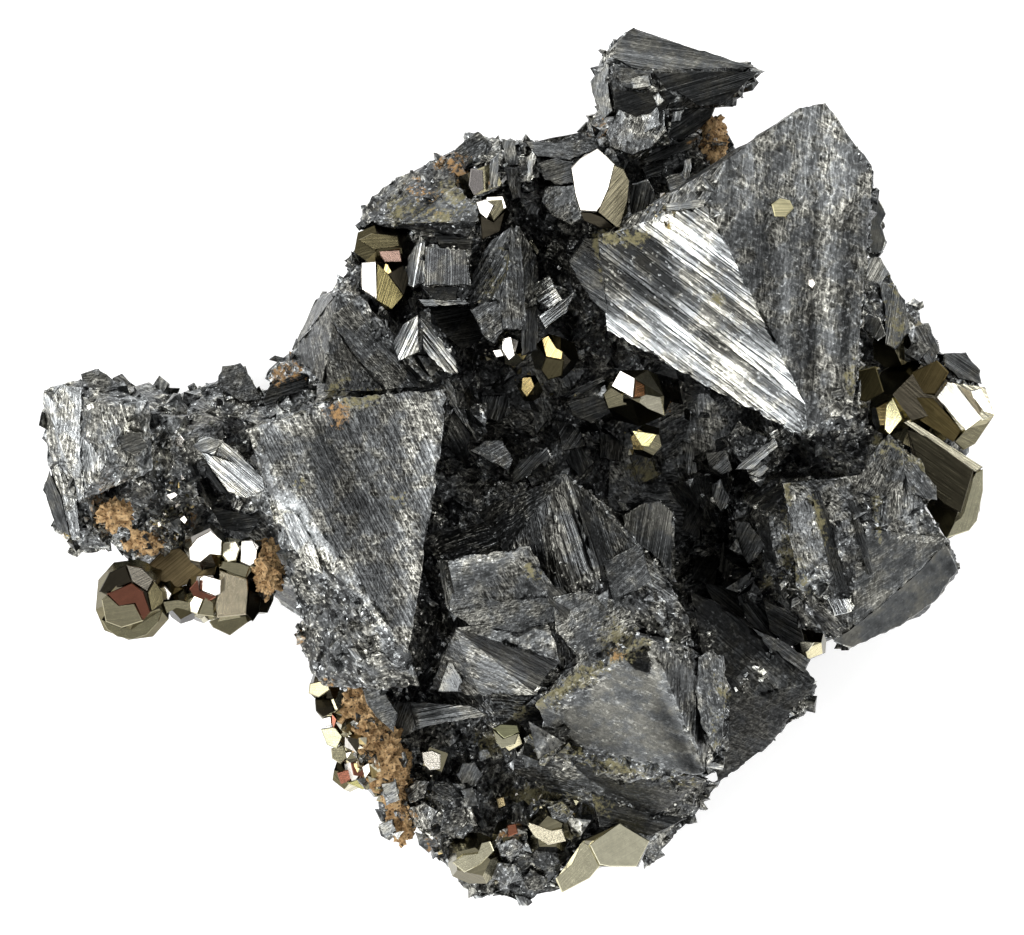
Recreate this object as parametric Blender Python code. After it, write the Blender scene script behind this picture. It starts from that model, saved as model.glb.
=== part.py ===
"""A tetrahedrite and pyrite specimen: the matrix with the tetrahedrite crystals that stand on it, the
pyrite crystals and clusters that sit in it, and the limonite crusts in its seams.

Every point is in millimetres in the part's own frame: +X right and +Y up in the view from above, and
+Z towards the viewer. Z = 0 is the flat cut that the specimen rests on.
"""

import math

import bmesh
import bpy
from mathutils import Quaternion, Vector, noise

MM = 0.001
GAP = 0.3 * MM  # room between a crystal and the pocket that it sits in
WELD = 0.001 * MM  # corners nearer than this are one corner
LEAST_FACET_ANGLE = math.radians(0.5)

GROUND_SIZE = 300.0  # the block that cuts everything off flat at Z = 0
CROWN_FOOT = 0.5  # how wide a crown's buried foot is, as a share of its facet

# Pyrite's pyritohedron {210}: the ratio of its edge corners to its cube corners
PYRITOHEDRON_LONG = 1.5
PYRITOHEDRON_SHORT = 0.75

COLOURS = {
    "tetrahedrite": ((0.23, 0.235, 0.245), 0.38, 1.0),
    "pyrite": ((0.62, 0.56, 0.40), 0.16, 1.0),
    "limonite": ((0.42, 0.22, 0.08), 0.90, 0.0),
}


def clear_scene():
    """Removes what a new Blender file starts with."""
    for obj in list(bpy.data.objects):
        bpy.data.objects.remove(obj)


def new_collection(name, shown=True):
    """A collection in the scene; one that isn't shown holds cutters."""
    made = bpy.data.collections.new(name)
    bpy.context.scene.collection.children.link(made)
    made.hide_render = not shown
    return made


def finish_material(name):
    """The plain material that a sub-part wears."""
    colour, roughness, metallic = COLOURS[name]
    made = bpy.data.materials.new(name)
    made.use_nodes = True
    shader = made.node_tree.nodes["Principled BSDF"]
    shader.inputs["Base Color"].default_value = (*colour, 1.0)
    shader.inputs["Roughness"].default_value = roughness
    shader.inputs["Metallic"].default_value = metallic
    return made


def hull(corners):
    """The crystal that has these corners, in millimetres, as a closed mesh in metres."""
    shape = bmesh.new()
    for corner in corners:
        shape.verts.new(Vector(corner) * MM)
    made = bmesh.ops.convex_hull(shape, input=shape.verts)
    inner = [v for v in made["geom_interior"] if isinstance(v, bmesh.types.BMVert)]
    bmesh.ops.delete(shape, geom=inner, context="VERTS")
    bmesh.ops.dissolve_limit(
        shape, angle_limit=LEAST_FACET_ANGLE, verts=shape.verts, edges=shape.edges
    )
    bmesh.ops.recalc_face_normals(shape, faces=shape.faces)
    mesh = bpy.data.meshes.new("crystal")
    shape.to_mesh(mesh)
    shape.free()
    return mesh


def height_on(point, first, second, third):
    """The point (x, y) lifted on to the plane of three corners, so that a facet stays flat."""
    a, b, c = Vector(first), Vector(second), Vector(third)
    normal = (b - a).cross(c - a)
    x, y = point
    z = a.z - (normal.x * (x - a.x) + normal.y * (y - a.y)) / normal.z
    return (x, y, z)


def crown(facet, spread, drop, depth):
    """A crystal seen by one flat facet: its sides fall away to a wider girdle, then close to a foot."""
    corners = [Vector(c) for c in facet]
    middle = sum(corners, Vector()) / len(corners)
    girdle = [middle + (c - middle) * spread - Vector((0, 0, drop)) for c in corners]
    foot = [middle + (c - middle) * CROWN_FOOT - Vector((0, 0, depth)) for c in corners]
    return hull(corners + girdle + foot)


def turned(corners, centre, facing, roll):
    """Local corners moved to centre, with local +Z looking along facing, rolled about it by degrees."""
    aim = Vector(facing).normalized().to_track_quat("Z", "Y")
    turn = aim @ Quaternion((0, 0, 1), math.radians(roll))
    return [Vector(centre) + turn @ Vector(c) for c in corners]


def pyritohedron(centre, width, facing=(0, 0, 1), roll=0.0, stretch=1.0):
    """Twelve pentagons; one of them looks along facing, and stretch lengthens the crystal across it."""
    long, short = PYRITOHEDRON_LONG, PYRITOHEDRON_SHORT
    signs = (-1, 1)
    corners = [Vector((x, y, z)) for x in signs for y in signs for z in signs]
    for a in signs:
        for b in signs:
            corners.append(Vector((0, a * long, b * short)))
            corners.append(Vector((a * short, 0, b * long)))
            corners.append(Vector((a * long, b * short, 0)))
    pentagon = Vector((0, 1, 2)).normalized()
    upright = pentagon.rotation_difference(Vector((0, 0, 1)))
    size = width / (2 * long)
    local = [upright @ c * size for c in corners]
    return hull(turned([(c.x * stretch, c.y, c.z) for c in local], centre, facing, roll))


def pyrite_block(centre, sizes, facing=(0, 0, 1), roll=0.0, chamfer=0.18):
    """A cube-like crystal whose corners are cut off, as pyrite's cubes are."""
    corners = []
    for x in (-1, 1):
        for y in (-1, 1):
            for z in (-1, 1):
                for cut in range(3):
                    share = [1.0, 1.0, 1.0]
                    share[cut] -= chamfer
                    corner = [s * sign for s, sign in zip(share, (x, y, z))]
                    corners.append([c * size / 2 for c, size in zip(corner, sizes)])
    return hull(turned(corners, centre, facing, roll))


def tetrahedron(centre, edge, facing=(0, 0, 1), roll=0.0, blunt=0.14):
    """Tetrahedrite's own form: four big faces, its corners cut off by four small ones."""
    tips = [Vector(t) for t in ((1, 1, 1), (1, -1, -1), (-1, 1, -1), (-1, -1, 1))]
    upright = tips[0].rotation_difference(Vector((0, 0, 1)))
    size = edge / (2 * math.sqrt(2))
    corners = [
        upright @ tip.lerp(other, blunt) * size for tip in tips for other in tips if other != tip
    ]
    return hull(turned(corners, centre, facing, roll))


def lump(centre, sizes, seed, roughness=0.16, rings=2):
    """A rough, rounded body: a small icosphere pulled about by seeded noise."""
    shape = bmesh.new()
    bmesh.ops.create_icosphere(shape, subdivisions=rings, radius=1.0)
    for v in shape.verts:
        push = 1 + roughness * 2 * noise.noise(v.co * 1.7 + Vector((seed, seed * 0.37, 0)))
        v.co = (Vector([a * b / 2 for a, b in zip(v.co * push, sizes)]) + Vector(centre)) * MM
    mesh = bpy.data.meshes.new("lump")
    shape.to_mesh(mesh)
    shape.free()
    return mesh


def grown(mesh, by):
    """A copy of the mesh with its faces moved outwards, which cuts the pocket for it."""
    shape = bmesh.new()
    shape.from_mesh(mesh)
    shape.normal_update()
    moved = [v.co + v.normal * by * v.calc_shell_factor() for v in shape.verts]
    for v, place in zip(shape.verts, moved):
        v.co = place
    bmesh.ops.triangulate(shape, faces=shape.faces)
    copy = bpy.data.meshes.new("pocket")
    shape.to_mesh(copy)
    shape.free()
    return copy


def box_of(mesh):
    """The lowest and highest corner of a mesh."""
    points = [v.co for v in mesh.vertices]
    low = Vector([min(p[i] for p in points) for i in range(3)])
    high = Vector([max(p[i] for p in points) for i in range(3)])
    return low, high


def boxes_meet(first, second):
    """Whether two boxes overlap."""
    (low_a, high_a), (low_b, high_b) = first, second
    return all(low_a[i] < high_b[i] and low_b[i] < high_a[i] for i in range(3))


def keep_largest_body(mesh):
    """Drops the chips that a pocket cuts loose, so that the piece is one closed body."""
    shape = bmesh.new()
    shape.from_mesh(mesh)
    bmesh.ops.remove_doubles(shape, verts=shape.verts, dist=WELD)
    bmesh.ops.dissolve_degenerate(shape, dist=WELD, edges=shape.edges)
    unseen = set(shape.verts)
    bodies = []
    while unseen:
        body, edge = set(), [unseen.pop()]
        while edge:
            v = edge.pop()
            body.add(v)
            near = {e.other_vert(v) for e in v.link_edges} & unseen
            unseen -= near
            edge.extend(near)
        bodies.append(body)
    bodies.sort(key=len)
    chips = [v for body in bodies[:-1] for v in body]
    bmesh.ops.delete(shape, geom=chips, context="VERTS")
    shape.to_mesh(mesh)
    shape.free()


def ground_block():
    """The block whose top face is the flat cut at Z = 0."""
    shape = bmesh.new()
    bmesh.ops.create_cube(shape, size=GROUND_SIZE * MM)
    bmesh.ops.translate(shape, vec=(0, 0, -GROUND_SIZE * MM / 2), verts=shape.verts)
    mesh = bpy.data.meshes.new("ground")
    shape.to_mesh(mesh)
    shape.free()
    return mesh


class Specimen:
    """Builds the pieces in order. Each piece is cut by the pockets of the pieces before it."""

    def __init__(self):
        self.shown = new_collection("tetrahedrite_and_pyrite_specimen")
        self.finishes = {name: finish_material(name) for name in COLOURS}
        ground = ground_block()
        self.pockets = [(ground, box_of(ground))]

    def boolean(self, obj, operation, meshes):
        """Adds one Boolean that takes all the meshes as its cutters."""
        cutters = new_collection(f"{obj.name}_{operation.lower()}", shown=False)
        for mesh in meshes:
            cutter = bpy.data.objects.new("cutter", mesh)
            cutter.hide_render = True
            cutter.display_type = "WIRE"
            cutters.objects.link(cutter)
        modifier = obj.modifiers.new(operation.lower(), "BOOLEAN")
        modifier.operation = operation
        modifier.operand_type = "COLLECTION"
        modifier.collection = cutters
        modifier.solver = "EXACT"

    def add(self, name, finish, *bodies):
        """Joins the bodies, cuts the earlier pieces' pockets out of them, and makes one named object."""
        obj = bpy.data.objects.new(name, bodies[0].copy())
        self.shown.objects.link(obj)
        if len(bodies) > 1:
            self.boolean(obj, "UNION", bodies[1:])
        boxes = [box_of(body) for body in bodies]
        near = [
            pocket for pocket, pocket_box in self.pockets
            if any(boxes_meet(box, pocket_box) for box in boxes)
        ]
        if near:
            self.boolean(obj, "DIFFERENCE", near)
        graph = bpy.context.evaluated_depsgraph_get()
        mesh = bpy.data.meshes.new_from_object(obj.evaluated_get(graph))
        mesh.name = name
        obj.modifiers.clear()
        keep_largest_body(mesh)
        mesh.materials.clear()
        mesh.materials.append(self.finishes[finish])
        obj.data = mesh
        for body in bodies:
            pocket = grown(body, GAP)
            self.pockets.append((pocket, box_of(pocket)))


def pyrite_top_body():
    """The tall crystal at the top: a bright left facet and a striped right one."""
    left, ridge_top, ridge_foot = (5.5, 30.0, 26.2), (9.8, 30.2, 29.0), (8.5, 26.0, 29.4)
    white = (left, ridge_top, ridge_foot)
    return hull([
        *white,
        height_on((6.9, 31.3), *white), height_on((8.3, 31.6), *white), height_on((6.4, 25.7), *white),
        (10.8, 29.8, 28.0), (11.3, 28.4, 27.0), (11.1, 25.4, 26.4), (9.9, 23.8, 26.6), (8.4, 24.0, 26.0),
        (6.8, 25.0, 25.6), (8.0, 28.0, 18.0),
    ])


def pyrite_upper_left_body():
    """The crystal under the ledge, with a narrow bright facet and a gold striped one."""
    return hull([
        (-15.5, 20.0, 22.2), (-14.0, 20.6, 23.6), (-14.0, 16.9, 23.6), (-15.5, 18.2, 22.2),
        (-13.0, 20.6, 23.6), (-11.2, 17.3, 22.8), (-12.8, 15.6, 22.6), (-10.0, 18.8, 20.6),
        (-11.2, 15.8, 20.0), (-13.6, 18.0, 14.0),
    ])


def pyrite_hollow_body():
    """The crystal that stands in the recess, with one bright facet at its crest."""
    left, peak, right = (9.4, 8.6, 19.6), (11.6, 6.9, 21.6), (14.8, 7.2, 20.2)
    return hull([
        left, peak, right,
        (10.4, 9.8, 19.8), (11.8, 9.0, 21.0), (13.2, 9.8, 20.0), (14.2, 9.3, 19.6), (8.7, 7.0, 18.6),
        (9.3, 6.0, 18.8), (14.8, 5.2, 19.2), (12.4, 4.2, 16.6), (10.0, 4.8, 16.6), (15.6, 7.0, 17.6),
        (12.0, 7.4, 11.0),
    ])


def pyrite_right_bodies():
    """The striped crystal, the dark one with the long double edge, and what they grew into."""
    striped_left, striped_tip, striped_foot = (42.1, 7.3, 18.0), (47.9, 5.3, 20.2), (44.6, 3.8, 19.8)
    striped = (striped_left, striped_tip, striped_foot)
    dark_top, dark_right, dark_foot = (39.1, 4.9, 18.0), (45.4, -0.7, 20.4), (44.2, -4.5, 20.4)
    dark = (dark_top, dark_right, dark_foot)
    return [
        hull([
            *striped,
            height_on((43.1, 8.6), *striped), height_on((47.0, 8.1), *striped),
            (43.9, 2.8, 18.4), (45.0, 2.0, 17.6), (45.7, 2.2, 17.0), (46.2, 3.6, 17.0), (44.6, 5.6, 9.0),
        ]),
        hull([
            *dark,
            height_on((40.8, -3.4), *dark), height_on((39.2, 3.6), *dark),
            (39.9, 4.9, 17.0), (46.6, -0.1, 17.4), (46.8, -1.7, 15.4), (46.6, -4.3, 15.0),
            (45.4, -6.1, 15.4), (43.2, -7.2, 16.6), (42.6, -1.0, 8.0),
        ]),
        pyritohedron((37.6, 5.2, 17.4), 3.6, (-0.35, 0.1, 0.93), 30),
        pyritohedron((40.2, 6.4, 14.6), 8.6, (0.1, 0.3, 0.95), 65),
    ]


def pyrite_left_bodies():
    """The bright clustered crystals under the arm, with the one that hangs from their end."""
    return [
        pyritohedron((-38.4, -13.2, 15.6), 7.4, (0.10, 0.16, 0.98), 25),
        pyritohedron((-34.9, -12.3, 16.0), 2.8, (-0.1, 0.3, 0.95), 80),
        pyritohedron((-33.4, -13.7, 15.4), 3.4, (0.1, -0.3, 0.95), 10),
        pyritohedron((-31.0, -7.9, 19.6), 4.2, (-0.1, 0.35, 0.93), 10),
        pyritohedron((-28.6, -8.4, 19.0), 2.8, (0.1, -0.2, 0.97), 50),
        pyritohedron((-26.8, -8.5, 19.4), 2.9, (0.0, 0.38, 0.92), 33),
        pyritohedron((-28.0, -10.3, 18.0), 4.0, (0.1, 0.1, 0.97), 70),
        pyritohedron((-31.0, -12.6, 18.0), 4.2, (-0.1, 0.34, 0.93), 66),
        crown(
            [(-30.2, -14.2, 18.9), (-29.6, -10.4, 19.2), (-26.8, -11.4, 19.0), (-27.0, -14.4, 18.8)],
            1.35, 2.2, 7.0,
        ),
        pyritohedron((-28.6, -14.2, 15.6), 4.4, (0.0, -0.7, 0.7), 40),
        pyritohedron((-26.2, -13.0, 15.8), 3.6, (0.5, -0.3, 0.8), 85),
        pyritohedron((-31.6, -14.0, 14.8), 2.8, (-0.3, -0.3, 0.9), 20),
    ]


def pyrite_foot_pair_bodies():
    """The broad pentagon at the foot and the smaller crystal that it grew into."""
    pentagon = [
        (10.4, -35.7, 16.2), (13.3, -37.5, 15.8), (12.2, -40.0, 14.9), (8.4, -40.0, 15.0),
        (6.8, -37.4, 15.8),
    ]
    return [
        crown(pentagon, 1.06, 1.2, 7.0),
        hull([
            (6.6, -37.6, 15.2), (8.4, -40.0, 14.6), (7.4, -41.2, 13.4), (4.6, -42.6, 12.8),
            (4.0, -41.4, 13.4), (5.7, -40.2, 14.6), (6.4, -39.0, 7.0), (5.6, -41.4, 8.0),
        ]),
    ]


def pyrites(specimen):
    """The pyrite crystals, from the top of the view to its foot."""

    def add(name, *bodies):
        specimen.add(name, "pyrite", *bodies)

    add("pyrite_top", pyrite_top_body())
    add("pyrite_ledge_block", pyrite_block((-3.6, 28.7, 23.0), (2.4, 3.0, 3.0), (0.3, 0.1, 0.9), 4))
    add("pyrite_ledge_front", pyritohedron((-2.2, 25.9, 24.2), 3.1, (0.1, 0.35, 0.9), 20))
    add("pyrite_ledge_under", pyritohedron((-13.2, 22.0, 19.5), 5.2, (0.1, -0.5, 0.8), 10, 1.1))
    add("pyrite_upper_left", pyrite_upper_left_body())
    add("pyrite_inner_white", pyritohedron((-0.5, 11.8, 20.8), 3.0, (-0.2, 0.3, 0.9), 15))
    add("pyrite_inner_gold", pyritohedron((3.9, 11.2, 19.0), 4.2, (0.1, -0.4, 0.9), 40))
    add("pyrite_inner_low", pyritohedron((1.4, 8.0, 16.6), 2.4, (-0.3, -0.2, 0.9), 70))
    add("pyrite_hollow", pyrite_hollow_body())
    add("pyrite_hollow_foot", pyritohedron((13.2, 2.7, 13.5), 3.2, (0.3, -0.2, 0.9), 200))
    add("pyrite_right_cluster", *pyrite_right_bodies())
    add("pyrite_rim_foot", pyritohedron((38.6, 12.6, 14.0), 5.4, (0.4, -0.2, 0.9), 25))
    add("pyrite_under_slope", pyritohedron((29.5, -17.6, 12.0), 3.4, (0.2, -0.5, 0.84), 0))
    add("pyrite_left_cluster", *pyrite_left_bodies())
    add(
        "pyrite_lower_left_cluster",
        pyritohedron((-19.2, -21.9, 14.6), 3.0, (-0.4, 0.2, 0.9), 15),
        pyritohedron((-18.2, -24.0, 13.4), 3.4, (-0.5, 0.0, 0.87), 55),
        pyritohedron((-17.2, -26.4, 12.6), 3.2, (-0.5, 0.1, 0.86), 0),
        pyritohedron((-16.0, -28.2, 12.2), 3.0, (-0.4, -0.3, 0.86), 35),
        pyritohedron((-15.3, -29.9, 13.4), 3.6, (-0.1, 0.1, 0.99), 70),
        pyritohedron((-16.8, -30.8, 11.4), 3.2, (-0.6, -0.4, 0.7), 25),
        pyritohedron((-13.6, -31.4, 11.6), 3.4, (0.1, -0.6, 0.8), 5),
    )
    add("pyrite_front", pyritohedron((-0.5, -26.8, 21.8), 3.0, (0.1, -0.45, 0.88), 18))
    add("pyrite_front_small", pyrite_block((-8.1, -29.4, 20.0), (2.0, 2.0, 2.0), (0.05, 0.25, 0.96), -8, 0.1))
    add("pyrite_foot_left", pyritohedron((-4.2, -39.2, 13.4), 4.8, (-0.1, -0.2, 0.97), 15, 1.1))
    add("pyrite_foot_middle", pyritohedron((-0.8, -36.9, 14.6), 3.0, (0.2, 0.0, 0.98), 60))
    add("pyrite_foot_right", pyritohedron((3.2, -36.4, 14.6), 4.4, (0.1, -0.1, 0.99), 30, 1.1))
    add("pyrite_foot_pair", *pyrite_foot_pair_bodies())


def upper_right_bodies():
    """The largest tetrahedron: a bright left face, a dark right face and a blunt lower tip."""
    ridge_top, ridge_foot = (18.8, 26.4, 33.5), (28.7, 6.3, 36.0)
    left_foot, right_shoulder = (9.1, 13.7, 27.5), (35.6, 30.2, 30.5)
    left_face = (ridge_top, ridge_foot, left_foot)
    right_face = (ridge_top, ridge_foot, right_shoulder)
    return [
        hull([
            *left_face,
            height_on((7.8, 22.9), *left_face),
            height_on((28.8, 2.6), *left_face),
            right_shoulder,
            height_on((21.0, 30.7), *right_face),
            height_on((28.2, 35.9), *right_face),
            height_on((30.8, 36.4), *right_face),
            height_on((33.6, 6.7), *right_face),
            (33.3, 3.7, 32.0),
            (24.0, 17.0, 7.0),
        ]),
        hull([
            (34.0, 32.0, 29.0), (35.8, 29.6, 29.4), (34.6, 14.0, 31.0), (33.6, 5.0, 31.5),
            (33.0, 18.0, 20.0),
        ]),
    ]


def top_bodies():
    """The tilted tetrahedron at the top, with the neck that it stands on."""
    return [
        hull([
            (25.0, 39.7, 21.5), (11.6, 44.1, 19.5), (9.4, 43.0, 20.5), (8.2, 41.0, 23.5),
            (9.6, 40.4, 26.0), (14.3, 40.0, 28.5), (22.8, 40.2, 24.8), (7.2, 38.6, 22.5), (8.5, 35.0, 22.0),
            (14.3, 35.6, 28.0), (22.1, 36.2, 20.5), (15.0, 37.0, 8.0),
        ]),
        hull([
            (9.2, 33.4, 22.0), (11.3, 30.2, 21.0), (15.4, 31.9, 23.5), (15.4, 36.0, 26.5),
            (11.0, 36.4, 24.5), (18.0, 34.2, 20.5), (14.0, 33.5, 12.0),
        ]),
    ]


def left_bodies():
    """The broad face left of the middle, sharp on its right edge, and its rough lower lobe."""
    left_top, right_top, foot = (-26.8, 3.9, 30.0), (-6.8, 7.9, 34.5), (-10.7, -18.5, 33.0)
    broad_face = (left_top, right_top, foot)
    return [
        hull([
            *broad_face,
            height_on((-18.2, 7.0), *broad_face),
            height_on((-7.6, 0.4), *broad_face),
            (-24.2, -4.3, 29.0), (-21.4, -16.0, 26.5), (-16.0, -8.0, 7.0), (-11.0, 2.0, 12.0),
        ]),
        hull([
            (-11.2, -16.0, 32.0), (-9.6, -21.8, 28.0), (-13.4, -22.6, 27.0), (-19.4, -22.0, 23.0),
            (-22.4, -17.0, 22.0), (-20.0, -12.0, 28.0), (-15.5, -17.0, 31.0), (-15.0, -16.0, 10.0),
        ]),
    ]


def centre_bodies():
    """The crest, the two blocks below it, the peak with the polished face, and their flanks."""
    crest, crest_foot = (5.0, -0.4, 33.0), (8.8, -13.0, 33.5)
    peak = (13.4, -17.0, 38.5)
    polished_left, polished_foot = (1.8, -23.6, 30.5), (18.9, -30.6, 27.5)
    polished = (peak, polished_left, polished_foot)
    return [
        hull([
            crest, crest_foot, (-0.7, -3.2, 27.5), (-4.2, -4.2, 24.0), (-1.2, -8.4, 28.5),
            (3.6, -13.4, 32.0), (8.9, -3.2, 29.0), (11.2, -6.8, 28.5), (14.3, -9.8, 27.5),
            (12.0, -14.0, 31.5), (5.0, -8.0, 6.0),
        ]),
        hull([
            (-7.4, -9.1, 32.0), (1.4, -7.7, 33.5), (4.6, -13.4, 35.0), (-6.2, -14.6, 33.5),
            (-7.6, -9.4, 26.0), (2.0, -16.0, 34.0), (-2.0, -12.0, 8.0),
        ]),
        hull([
            (-6.2, -15.8, 33.0), (3.4, -15.0, 35.0), (4.4, -19.2, 34.5), (2.0, -22.6, 30.0),
            (-3.6, -22.8, 26.5), (-8.9, -22.3, 22.0), (-7.0, -17.6, 28.0), (-1.0, -18.0, 7.0),
        ]),
        hull([
            *polished,
            height_on((3.4, -28.0), *polished), height_on((10.4, -31.6), *polished),
            (20.2, -29.6, 25.5), (20.6, -22.0, 28.0), (17.8, -17.8, 31.0), (8.6, -14.8, 34.5),
            (11.0, -24.0, 6.0),
        ]),
        hull([
            (17.6, -18.0, 31.0), (20.6, -18.9, 29.5), (21.5, -21.5, 28.5), (21.3, -28.4, 25.0),
            (20.0, -30.2, 22.0), (17.0, -25.0, 31.0), (16.0, -24.0, 12.0),
        ]),
        hull([
            (12.0, -4.5, 21.5), (14.3, -3.1, 22.5), (16.0, -4.0, 22.0), (16.2, -11.5, 20.5),
            (12.6, -12.0, 24.0), (14.0, -8.0, 7.0),
        ]),
        hull([
            (12.8, -7.8, 28.0), (15.0, -10.6, 27.0), (17.5, -15.2, 28.0), (17.9, -18.0, 29.0),
            (10.0, -15.0, 34.0), (9.0, -11.0, 31.0), (14.0, -14.0, 8.0),
        ]),
        hull([
            (3.0, -27.4, 25.5), (19.4, -31.0, 24.5), (17.9, -33.4, 18.5), (12.8, -36.0, 14.0),
            (4.8, -33.2, 16.0), (-1.4, -30.0, 18.0), (-2.4, -26.2, 21.0), (8.0, -28.0, 5.0),
        ]),
    ]


def lower_slope_bodies():
    """The dark slope that runs from the recess down to the lower right."""
    slope_crest, slope_point = (17.4, -12.0, 19.0), (30.2, -21.4, 15.0)
    return [
        hull([
            slope_crest, slope_point, (25.8, -16.6, 17.0), (30.2, -23.6, 12.5), (25.8, -27.8, 12.5),
            (20.3, -31.9, 12.5), (19.6, -24.0, 20.0), (21.0, -16.0, 4.0), (20.0, -25.0, 3.0),
        ]),
        hull([
            (18.6, -31.0, 15.5), (20.4, -31.6, 12.5), (17.0, -36.4, 10.0), (14.2, -40.0, 8.0),
            (12.8, -41.1, 7.0), (11.9, -38.6, 9.0), (12.0, -33.0, 12.0), (15.0, -33.0, 3.0),
        ]),
    ]


def lower_right_bodies():
    """The shelf at the lower right with its upright triangle and its small front crystal."""
    shelf_right, shelf_left = (43.6, -7.1, 24.0), (33.6, -16.6, 24.5)
    return [
        hull([
            shelf_right, shelf_left, (26.6, -1.5, 26.5), (27.9, -11.8, 26.5), (30.4, -13.6, 26.0),
            (34.0, -6.0, 29.5), (40.6, -3.6, 26.0), (34.8, -0.6, 27.0),
            (44.2, -9.0, 18.5), (44.7, -10.3, 17.0), (40.8, -14.9, 15.5), (33.2, -18.3, 16.5),
            (31.0, -17.2, 18.5), (35.0, -8.0, 6.0),
        ]),
        hull([
            (38.1, 3.3, 26.5), (36.4, 1.8, 26.5), (33.0, -2.6, 26.5), (36.0, -6.0, 29.0),
            (41.2, -4.0, 26.5), (42.2, -2.9, 24.5), (40.4, 1.0, 25.0), (38.0, -2.0, 12.0),
        ]),
        hull([
            (26.4, -10.6, 20.0), (29.0, -12.6, 24.0), (31.4, -17.0, 20.0), (28.6, -16.6, 16.0),
            (26.0, -14.0, 14.0), (30.0, -12.0, 8.0),
        ]),
    ]


def far_left_bodies():
    """The bright striated block that ends the arm."""
    return [
        hull([
            (-47.6, 8.0, 16.5), (-47.9, 4.5, 14.5), (-47.2, -0.3, 14.5), (-43.6, 9.3, 19.0),
            (-41.4, 6.4, 24.5), (-41.0, 0.4, 25.0), (-43.8, -3.4, 20.5), (-36.6, 7.0, 22.0),
            (-36.2, -0.4, 22.0), (-39.0, 1.0, 5.0), (-43.0, 2.0, 7.0),
        ]),
        hull([
            (-47.2, 0.4, 16.0), (-44.6, 0.8, 20.0), (-43.0, -2.6, 19.5), (-42.6, -6.0, 17.0),
            (-44.6, -9.1, 12.0), (-46.4, -6.4, 12.0), (-47.6, -2.4, 12.5), (-40.6, -8.8, 13.5),
            (-39.6, -4.0, 18.0), (-42.0, -3.0, 5.0),
        ]),
        hull([
            (-43.8, 9.0, 18.0), (-42.2, 9.9, 18.5), (-39.6, 8.9, 19.0), (-37.6, 7.9, 19.0),
            (-38.0, 4.0, 23.0), (-42.0, 5.0, 24.0), (-40.0, 6.0, 8.0),
        ]),
    ]


def left_knobs_bodies():
    """The small dark crystals along the arm's upper edge."""
    return [
        hull([
            (-29.9, 9.4, 16.5), (-28.7, 10.4, 17.0), (-27.1, 10.3, 18.0), (-25.0, 6.6, 20.5),
            (-26.6, 4.6, 22.0), (-30.4, 5.4, 21.5), (-32.0, 7.6, 18.0), (-28.0, 7.0, 8.0),
        ]),
        hull([
            (-24.8, 6.7, 18.0), (-23.2, 8.9, 18.5), (-20.6, 9.3, 19.5), (-19.9, 7.2, 21.5),
            (-23.0, 5.4, 21.0), (-22.0, 7.0, 8.0),
        ]),
        hull([
            (-25.6, 9.3, 17.0), (-23.6, 10.8, 18.0), (-21.6, 12.7, 18.0), (-19.6, 13.2, 18.0),
            (-18.6, 9.0, 22.0), (-24.0, 7.0, 19.0), (-21.0, 9.0, 8.0),
        ]),
    ]


def left_blade_bodies():
    """The bright blade that lies on the arm."""
    return [
        hull([
            (-31.5, 2.3, 22.6), (-29.8, 2.9, 23.6), (-27.6, 1.6, 24.6), (-24.4, -1.1, 23.4),
            (-24.9, -2.6, 22.6), (-27.8, -3.2, 22.4), (-30.0, -1.0, 22.2), (-28.0, 0.0, 14.0),
        ]),
    ]


def upper_left_bodies():
    """The dark triangular face beside the broad one, and the small crystal above it."""
    return [
        hull([
            (-19.4, 8.4, 25.5), (-17.8, 17.6, 26.5), (-8.2, 8.6, 27.5), (-15.6, 17.6, 26.0),
            (-12.4, 14.0, 26.5), (-22.6, 11.6, 17.0), (-19.8, 17.6, 17.5), (-17.8, 19.2, 19.0),
            (-14.0, 11.0, 6.0),
        ]),
        hull([
            (-16.8, 20.8, 18.5), (-15.6, 22.2, 18.5), (-14.4, 20.6, 20.0), (-15.6, 16.4, 24.0),
            (-18.4, 17.4, 22.0), (-16.0, 18.0, 8.0),
        ]),
    ]


def ledge_bodies():
    """The overhanging mass at the upper left."""
    return [
        hull([
            (-16.0, 26.2, 18.0), (-16.0, 23.7, 17.5), (-13.8, 28.2, 18.5), (-9.2, 30.6, 19.0),
            (-5.9, 32.4, 19.0), (-3.8, 30.2, 22.0), (-3.6, 24.6, 26.0), (-4.2, 22.8, 23.0),
            (-11.0, 24.4, 24.5), (-14.2, 24.6, 22.0), (-9.0, 27.0, 6.0),
        ]),
    ]


def saddle_bodies():
    """The upright blades along the top edge."""
    return [
        hull([
            (-5.5, 33.3, 17.5), (-3.8, 33.8, 18.0), (-1.6, 33.6, 18.5), (-0.6, 30.0, 22.5),
            (-4.2, 30.0, 22.0), (-3.0, 31.0, 8.0),
        ]),
        hull([
            (-1.2, 33.0, 18.0), (2.0, 33.1, 18.5), (2.4, 29.2, 23.0), (-0.6, 28.4, 23.0),
            (0.5, 31.0, 8.0),
        ]),
        hull([
            (1.8, 32.8, 18.0), (7.0, 32.9, 18.5), (8.2, 34.0, 18.5), (7.2, 29.8, 22.0),
            (4.0, 28.9, 24.0), (1.8, 29.6, 22.5), (5.0, 31.0, 8.0),
        ]),
    ]


def inner_block_bodies():
    """The stepped block below the ledge."""
    return [
        hull([
            (-10.3, 22.2, 21.0), (-8.7, 22.7, 24.5), (-4.3, 21.9, 24.5), (-4.6, 17.8, 26.0),
            (-8.7, 18.2, 26.0), (-4.7, 16.6, 23.5), (-8.7, 16.6, 23.5), (-10.5, 19.4, 21.0),
            (-7.0, 19.0, 8.0),
        ]),
    ]


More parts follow.
